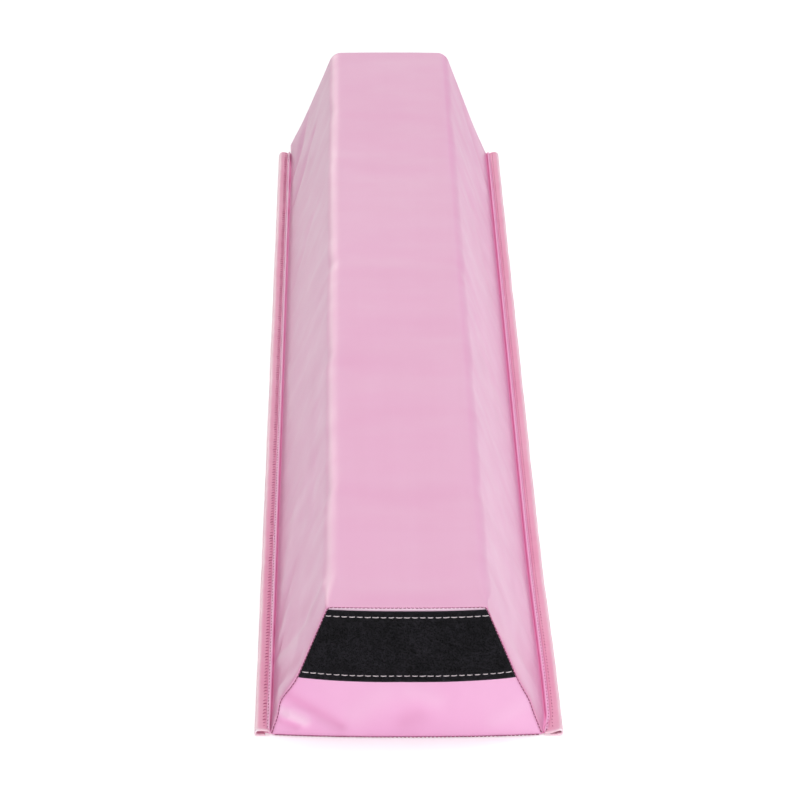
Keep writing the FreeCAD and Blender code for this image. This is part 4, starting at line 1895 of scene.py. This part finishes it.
@dataclass(frozen=True)
class FoamPlank:
    """One of the two glued foam planks of the core."""

    name: str
    low: float
    high: float
    slack: float = 0.0036
    groove_half: float = 0.0168
    groove_top: float = 0.0088
    cut: float = 0.006
    grooved: bool = False

    def half_at(self, level: float) -> float:
        """Half width of the plank at a height."""
        return SHAPE.half_width(level) - self.slack

    def section(self) -> Array:
        """Closed outline of the plank, with the zip's groove if it has one.

        Returns:
            (points, 2) array of X and height.
        """
        foot, shoulder = self.half_at(self.low), self.half_at(self.high)
        soft = 0.0015 if self.grooved else 0.009
        corner = [(shoulder + SHAPE.slope * soft, self.high - soft),
                  (shoulder - soft * 0.3, self.high - soft * 0.2), (shoulder - soft, self.high)]
        under = [(self.groove_half, self.groove_top), (self.groove_half, self.low)] if self.grooved else []
        half = [*under, (foot - 0.002, self.low), (foot, self.low + 0.002), *corner]
        loop = half + [(-x, z) for x, z in reversed(half)]
        fine = []
        for (x0, z0), (x1, z1) in zip(loop, loop[1:] + loop[:1]):
            count = max(1, int(math.hypot(x1 - x0, z1 - z0) / self.cut))
            fine += [(x0 + (x1 - x0) * i / count, z0 + (z1 - z0) * i / count) for i in range(count)]
        return np.array(fine)

    def build(self) -> Object:
        """Builds the plank as a closed block with cut faces that are a little uneven.

        Returns:
            The plank.
        """
        outline = self.section()
        length = SHAPE.sheet_end - 0.0042
        out = np.concatenate([[0.0, 0.0004, 0.0015, 0.004], np.linspace(0.012, length, 50)])
        y = np.concatenate([out - length, (length - out)[-2::-1]])
        from_end = np.concatenate([out, out[-2::-1]])
        shrink = 0.0015 * np.exp(-from_end / 0.0008)
        middle = np.array([0.0, (self.low + self.high) / 2])
        away = outline - middle
        away = away / np.linalg.norm(away, axis=1)[:, None]
        ring = outline[None] - away[None] * shrink[:, None, None]
        rough = swell(ring[..., 0] + ring[..., 1], y[:, None] + 0 * ring[..., 0], 81, 0.02, 0.09, 0.7, 0.8)
        ring = ring - away[None] * np.abs(rough)[..., None] * 0.00025
        rows, count = ring.shape[:2]
        points = np.stack([ring[..., 0], np.broadcast_to(y[:, None], (rows, count)), ring[..., 1]], axis=-1)
        points = SHAPE.settle(points)
        index = np.arange(rows * count).reshape(rows, count)
        around = np.roll(index, -1, axis=1)
        faces = np.stack([index[:-1], index[1:], around[1:], around[:-1]], axis=-1).reshape(-1, 4).tolist()
        mesh = bpy.data.meshes.new(self.name)
        caps = [index[0].tolist(), index[-1, ::-1].tolist()]
        mesh.from_pydata(points.reshape(-1, 3).tolist(), [], faces + caps)
        mesh.update()
        return new_object(self.name, mesh)


@dataclass(frozen=True)
class Zip:
    """The zip in the base: two woven tapes, two nylon coils and the stitches that hold them."""

    tape_end: float = 0.560
    coil_end: float = 0.523
    turn_pitch: float = 0.0015
    wire: float = 0.00033
    tape_wall: float = 0.00048
    stitch_line: float = 0.011

    def tape(self, side: Side) -> Object:
        """Builds one tape, raised along its inner edge to carry the coil.

        Args:
            side: which of the two tapes.

        Returns:
            The tape, a closed shell.
        """
        line = through([(0.0010, 0.0060), (0.0030, 0.0060), (0.0051, 0.00598), (0.0062, 0.0051),
                        (0.0080, 0.0034), (0.0092, 0.00272), (0.0110, 0.00262), (0.0150, 0.00262)], 20)
        y = np.linspace(-self.tape_end, self.tape_end, 200)[:, None]
        x, z = line[None, :, 0] + 0 * y, line[None, :, 1] + 0 * y
        points = np.stack([side.value * x, y + 0 * x, z], axis=-1)
        obj = sheet_mesh("zip_ribbon_" + side.name.lower(), points, flip=side is Side.RIGHT)
        return thicken(obj, self.tape_wall)

    def coil(self, side: Side, nylon: Material) -> Object:
        """Winds one coil under a tape's inner edge.

        Args:
            side: which of the two coils.
            nylon: its material.

        Returns:
            The coil as one plain mesh.
        """
        low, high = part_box("zip_coil_" + side.name.lower())
        half_x, half_z = (high.x - low.x) / 2 - self.wire, (high.z - low.z) / 2 - self.wire
        run = 2 * self.coil_end - 2 * self.wire
        centre = ((low.x + high.x) / 2, low.y + self.wire, (low.z + high.z) / 2)
        # the left coil ends half a turn on, so that the two lie between each other
        turns = run / self.turn_pitch + (0.5 if side is Side.LEFT else 0.0)
        return grown("zip_teeth_" + side.name.lower(), coil_group(), bpy.data.meshes.new("coil_base"), {
            "Turns": turns, "Run": run, "Half Width": half_x, "Half Height": half_z,
            "Wire Radius": self.wire, "Centre": centre, "Nylon": nylon})

    def stitches(self, thread: Material) -> Object:
        """Sews the tapes to the hem, on the floor side.

        Args:
            thread: the material of the thread.

        Returns:
            The stitches as one plain mesh.
        """
        y = np.linspace(-0.543, 0.543, 300)
        lines = [np.stack([x + 0 * y, y, 0.00052 + 0 * y], axis=-1)
                 for x in (-self.stitch_line, self.stitch_line)]
        return HEM_SEAM.sew("zip_hem_stitches", lines, (0.0, 0.0, -1.0), 91, thread)


# Studio


@dataclass(frozen=True)
class Lamp:
    """One large soft light: its place and aim, its width and height, and its watts."""

    name: str
    place: Place
    aim: Place
    size: tuple[float, float]
    power: float

    def hang(self) -> None:
        """Hangs the light."""
        data = bpy.data.lights.new(self.name, "AREA")
        data.shape, data.size, data.size_y = "RECTANGLE", *self.size
        data.energy = self.power
        obj = bpy.data.objects.new(self.name, data)
        obj.location = self.place
        obj.rotation_mode = "QUATERNION"
        obj.rotation_quaternion = (Vector(self.aim) - Vector(self.place)).to_track_quat("-Z", "Y")
        bpy.context.scene.collection.objects.link(obj)


LAMPS = (
    Lamp("overhead", (0.3, 0.3, 4.0), (0.0, 0.1, 0.05), (1.8, 3.8), 114.0),
    Lamp("front", (0.5, -4.6, 1.9), (0.0, -0.5, 0.05), (3.0, 1.6), 99.0),
    Lamp("right", (3.2, -0.6, 1.6), (0.0, 0.0, 0.05), (1.8, 3.2), 3.0))


@dataclass(frozen=True)
class Studio:
    """Pale floor, soft surroundings, lights and the camera."""

    lens: float = 225.0
    camera_place: Place = (-0.0462, -3.5449, 1.3679)
    pitch: float = 21.072
    yaw: float = -0.788
    roll: float = 0.264
    left_sky: float = 0.07
    right_sky: float = 0.22
    far_glow: float = 0.95
    window: Place = (-0.30, 0.93, 0.21)
    window_power: float = 2.1
    left_tone: Colour = (1.0, 0.93, 0.84, 1.0)
    right_tone: Colour = (0.93, 0.97, 1.0, 1.0)
    floor_reach: float = 14.0
    floor_level: float = -0.0003
    floor_glow: float = 0.30

    def camera(self) -> None:
        """Places the camera, looking along the beam from above its loop end."""
        data = bpy.data.cameras.new("camera")
        data.lens, data.sensor_width = self.lens, 36.0
        data.clip_start, data.clip_end = 0.1, 60.0
        obj = bpy.data.objects.new("camera", data)
        bpy.context.scene.collection.objects.link(obj)
        turn = (Matrix.Rotation(math.radians(self.yaw), 4, "Z")
                @ Matrix.Rotation(math.radians(90 - self.pitch), 4, "X")
                @ Matrix.Rotation(math.radians(self.roll), 4, "Z"))
        obj.matrix_world = Matrix.Translation(self.camera_place) @ turn
        bpy.context.scene.camera = obj

    def floor(self) -> None:
        """Lays the seamless white floor."""
        mesh = bpy.data.meshes.new("floor")
        around = np.linspace(0, 2 * math.pi, 64, endpoint=False)
        ring = [(self.floor_reach * math.cos(a), self.floor_reach * math.sin(a), self.floor_level)
                for a in around]
        mesh.from_pydata(ring, [], [list(range(len(ring)))])
        obj = new_object("floor", mesh)
        paint = Shader("floor_paper")
        grain = paint.ramp(paint.noise(90.0, 3.0), 0.3, 0.7, 0.0, 1.0)
        paper = paint.mix(grain, (0.94, 0.94, 0.94, 1), (0.96, 0.96, 0.96, 1))
        obj.data.materials.append(paint.set(Base_Color=paper, Roughness=0.9, Specular_IOR_Level=0.1,
                                            Emission_Color=WHITE, Emission_Strength=self.floor_glow))

    def world(self) -> None:
        """Pale surroundings, dimmer on the left, with a glow behind and a soft window."""
        world = bpy.data.worlds.new("studio")
        world.use_nodes = True
        tree = world.node_tree
        back = tree.nodes["Background"]
        toward = add(tree, "ShaderNodeTexCoord").outputs["Generated"]
        across, along, _ = add(tree, "ShaderNodeSeparateXYZ", {0: toward}).outputs
        sides = ranged(tree, across, -0.6, 0.6, 0.0, 1.0)
        tree.links.new(mixed(tree, sides, self.left_tone, self.right_tone), back.inputs[0])
        even = ranged(tree, across, -1.0, 1.0, self.left_sky, self.right_sky)
        glow = ranged(tree, along, 0.80, 1.0, 0.0, self.far_glow)
        facing = add(tree, "ShaderNodeVectorMath", {0: toward, 1: self.window}, operation="DOT_PRODUCT")
        window = ranged(tree, facing.outputs["Value"], 0.955, 1.0, 0.0, self.window_power)
        tree.links.new(maths(tree, "ADD", maths(tree, "ADD", even, glow), window), back.inputs[1])
        bpy.context.scene.world = world

    def build(self) -> None:
        """Sets up the whole studio."""
        bpy.context.scene.view_settings.view_transform = "Standard"
        self.camera()
        self.floor()
        self.world()
        for lamp in LAMPS:
            lamp.hang()


# Putting it together


@dataclass(frozen=True)
class Finishes:
    """All the finishes of the beam: vinyls, strips, threads, foam and zip."""

    wrap: Material
    end: Material
    base: Material
    binding: Material
    pile: Material
    ground: Material
    hook: Material
    pale: Material
    rose: Material
    pink: Material
    foam: Material
    tape: Material
    nylon: Material
    nickel: Material

    @classmethod
    def made(cls) -> "Finishes":
        """Makes every finish once.

        Returns:
            The finishes.
        """
        wrap = Vinyl("cover_vinyl_pink", srgb(238, 168, 209), srgb(212, 106, 158), srgb(238, 190, 216))
        end = Vinyl("end_vinyl_pink", srgb(238, 169, 214), srgb(206, 112, 164), srgb(247, 206, 231),
                    streaks=0.2)
        base = Vinyl("base_vinyl_pink", srgb(226, 160, 192), srgb(196, 108, 150), srgb(236, 180, 208),
                     roughness=0.5)
        binding = Vinyl("binding_vinyl_rose", srgb(224, 146, 178), srgb(190, 92, 130), srgb(244, 206, 220),
                        roughness=0.42, streaks=0.2)
        return cls(
            wrap.make(), end.make(), base.make(), binding.make(), Pile("loop_pile_black").make(),
            Pile("strip_ground_black", srgb(26, 24, 29), srgb(44, 42, 48)).make(),
            Pile("hook_nylon_black", srgb(20, 20, 22), srgb(60, 60, 66)).make(),
            Thread("thread_off_white", srgb(250, 238, 243), srgb(196, 178, 186)).make(),
            Thread("thread_rose", srgb(168, 72, 116), srgb(120, 44, 80)).make(),
            Thread("thread_dark_pink", srgb(186, 88, 130), srgb(140, 56, 94)).make(),
            FoamFill().make(), TapeWeave().make(), Nylon().make(), Nickel("zip_nickel").make())


def build_cover(look: Finishes) -> None:
    """Builds the wrap, both ends with their strips, and the core.

    Args:
        look: the finishes.
    """
    upper = FoamPlank("foam_plank_upper", 0.0441, 0.0860)
    lower = FoamPlank("foam_plank_lower", 0.0018, 0.0439, grooved=True)
    for plank, node in ((lower, "foam_core_lower"), (upper, "foam_core_upper")):
        piece = dress(plank.build(), look.foam, "foam", [node])
    wrap = dress(CoverWrap().build(), look.wrap, "cover_vinyl", ["cover_wrap"])
    for end in End:
        label = end.name.lower()
        panel = EndPanel(end)
        piece = dress(panel.build(), look.end, "end_vinyl", ["cover_end_" + label])
        strip = TapeStrip(panel)
        sewn = END_SEAM.sew("end_seam_stitches_" + label, panel.seam_lines(), strip.facing, 15 + end.value,
                            look.rose)
        dress(sewn, look.rose, "rose_thread", ["end_seam_thread_" + label])
        tape = strip.build()
        if end is End.LOOP:
            face, finish, slot = strip.pile(look.pile), look.pile, "loop_pile"
        else:
            face, finish, slot = strip.hooks(look.hook), look.hook, "hook_pile"
        dress(tape, look.ground, slot, [label + "_strip"])
        dress(face, finish, slot, [])
        thread = dress(strip.stitches(look.pale), look.pale, "pale_thread", [label + "_strip_stitching"])


def build_foot(look: Finishes) -> None:
    """Builds the base sheet, the flanges' bindings and their stitches.

    Args:
        look: the finishes.
    """
    base = dress(BaseSheet().build(), look.base, "base_vinyl", ["cover_base"])
    for side in Side:
        label = side.name.lower()
        binding = Binding(side)
        fold = dress(binding.build(), look.binding, "binding_vinyl", ["binding_" + label])
        thread = dress(binding.stitches(look.pink), look.pink, "pink_thread", ["flange_stitching_" + label])


def build_zip(look: Finishes) -> None:
    """Builds the tapes, coils and stitches of the zip and finishes its metal parts.

    Args:
        look: the finishes.
    """
    maker = Zip()
    for side in Side:
        label = side.name.lower()
        tape = dress(maker.tape(side), look.tape, "zip_tape", ["zip_tape_" + label])
        dress(maker.coil(side, look.nylon), look.nylon, "zip_teeth", ["zip_coil_" + label])
    dress(maker.stitches(look.pink), look.pink, "pink_thread", ["zip_stitching"])
    for name in ("zip_slider", "zip_pull", "zip_top_stops", "zip_bottom_stop"):
        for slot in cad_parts[name].material_slots:
            slot.material = look.nickel
        LOG.info("%s: from the frame, nickel finish", name)


def main() -> None:
    """Builds the beam, piece by piece."""
    logging.basicConfig(level=logging.INFO, format="%(message)s")
    Studio().build()
    look = Finishes.made()
    build_cover(look)
    build_foot(look)
    build_zip(look)


if __name__ == "__main__":
    main()
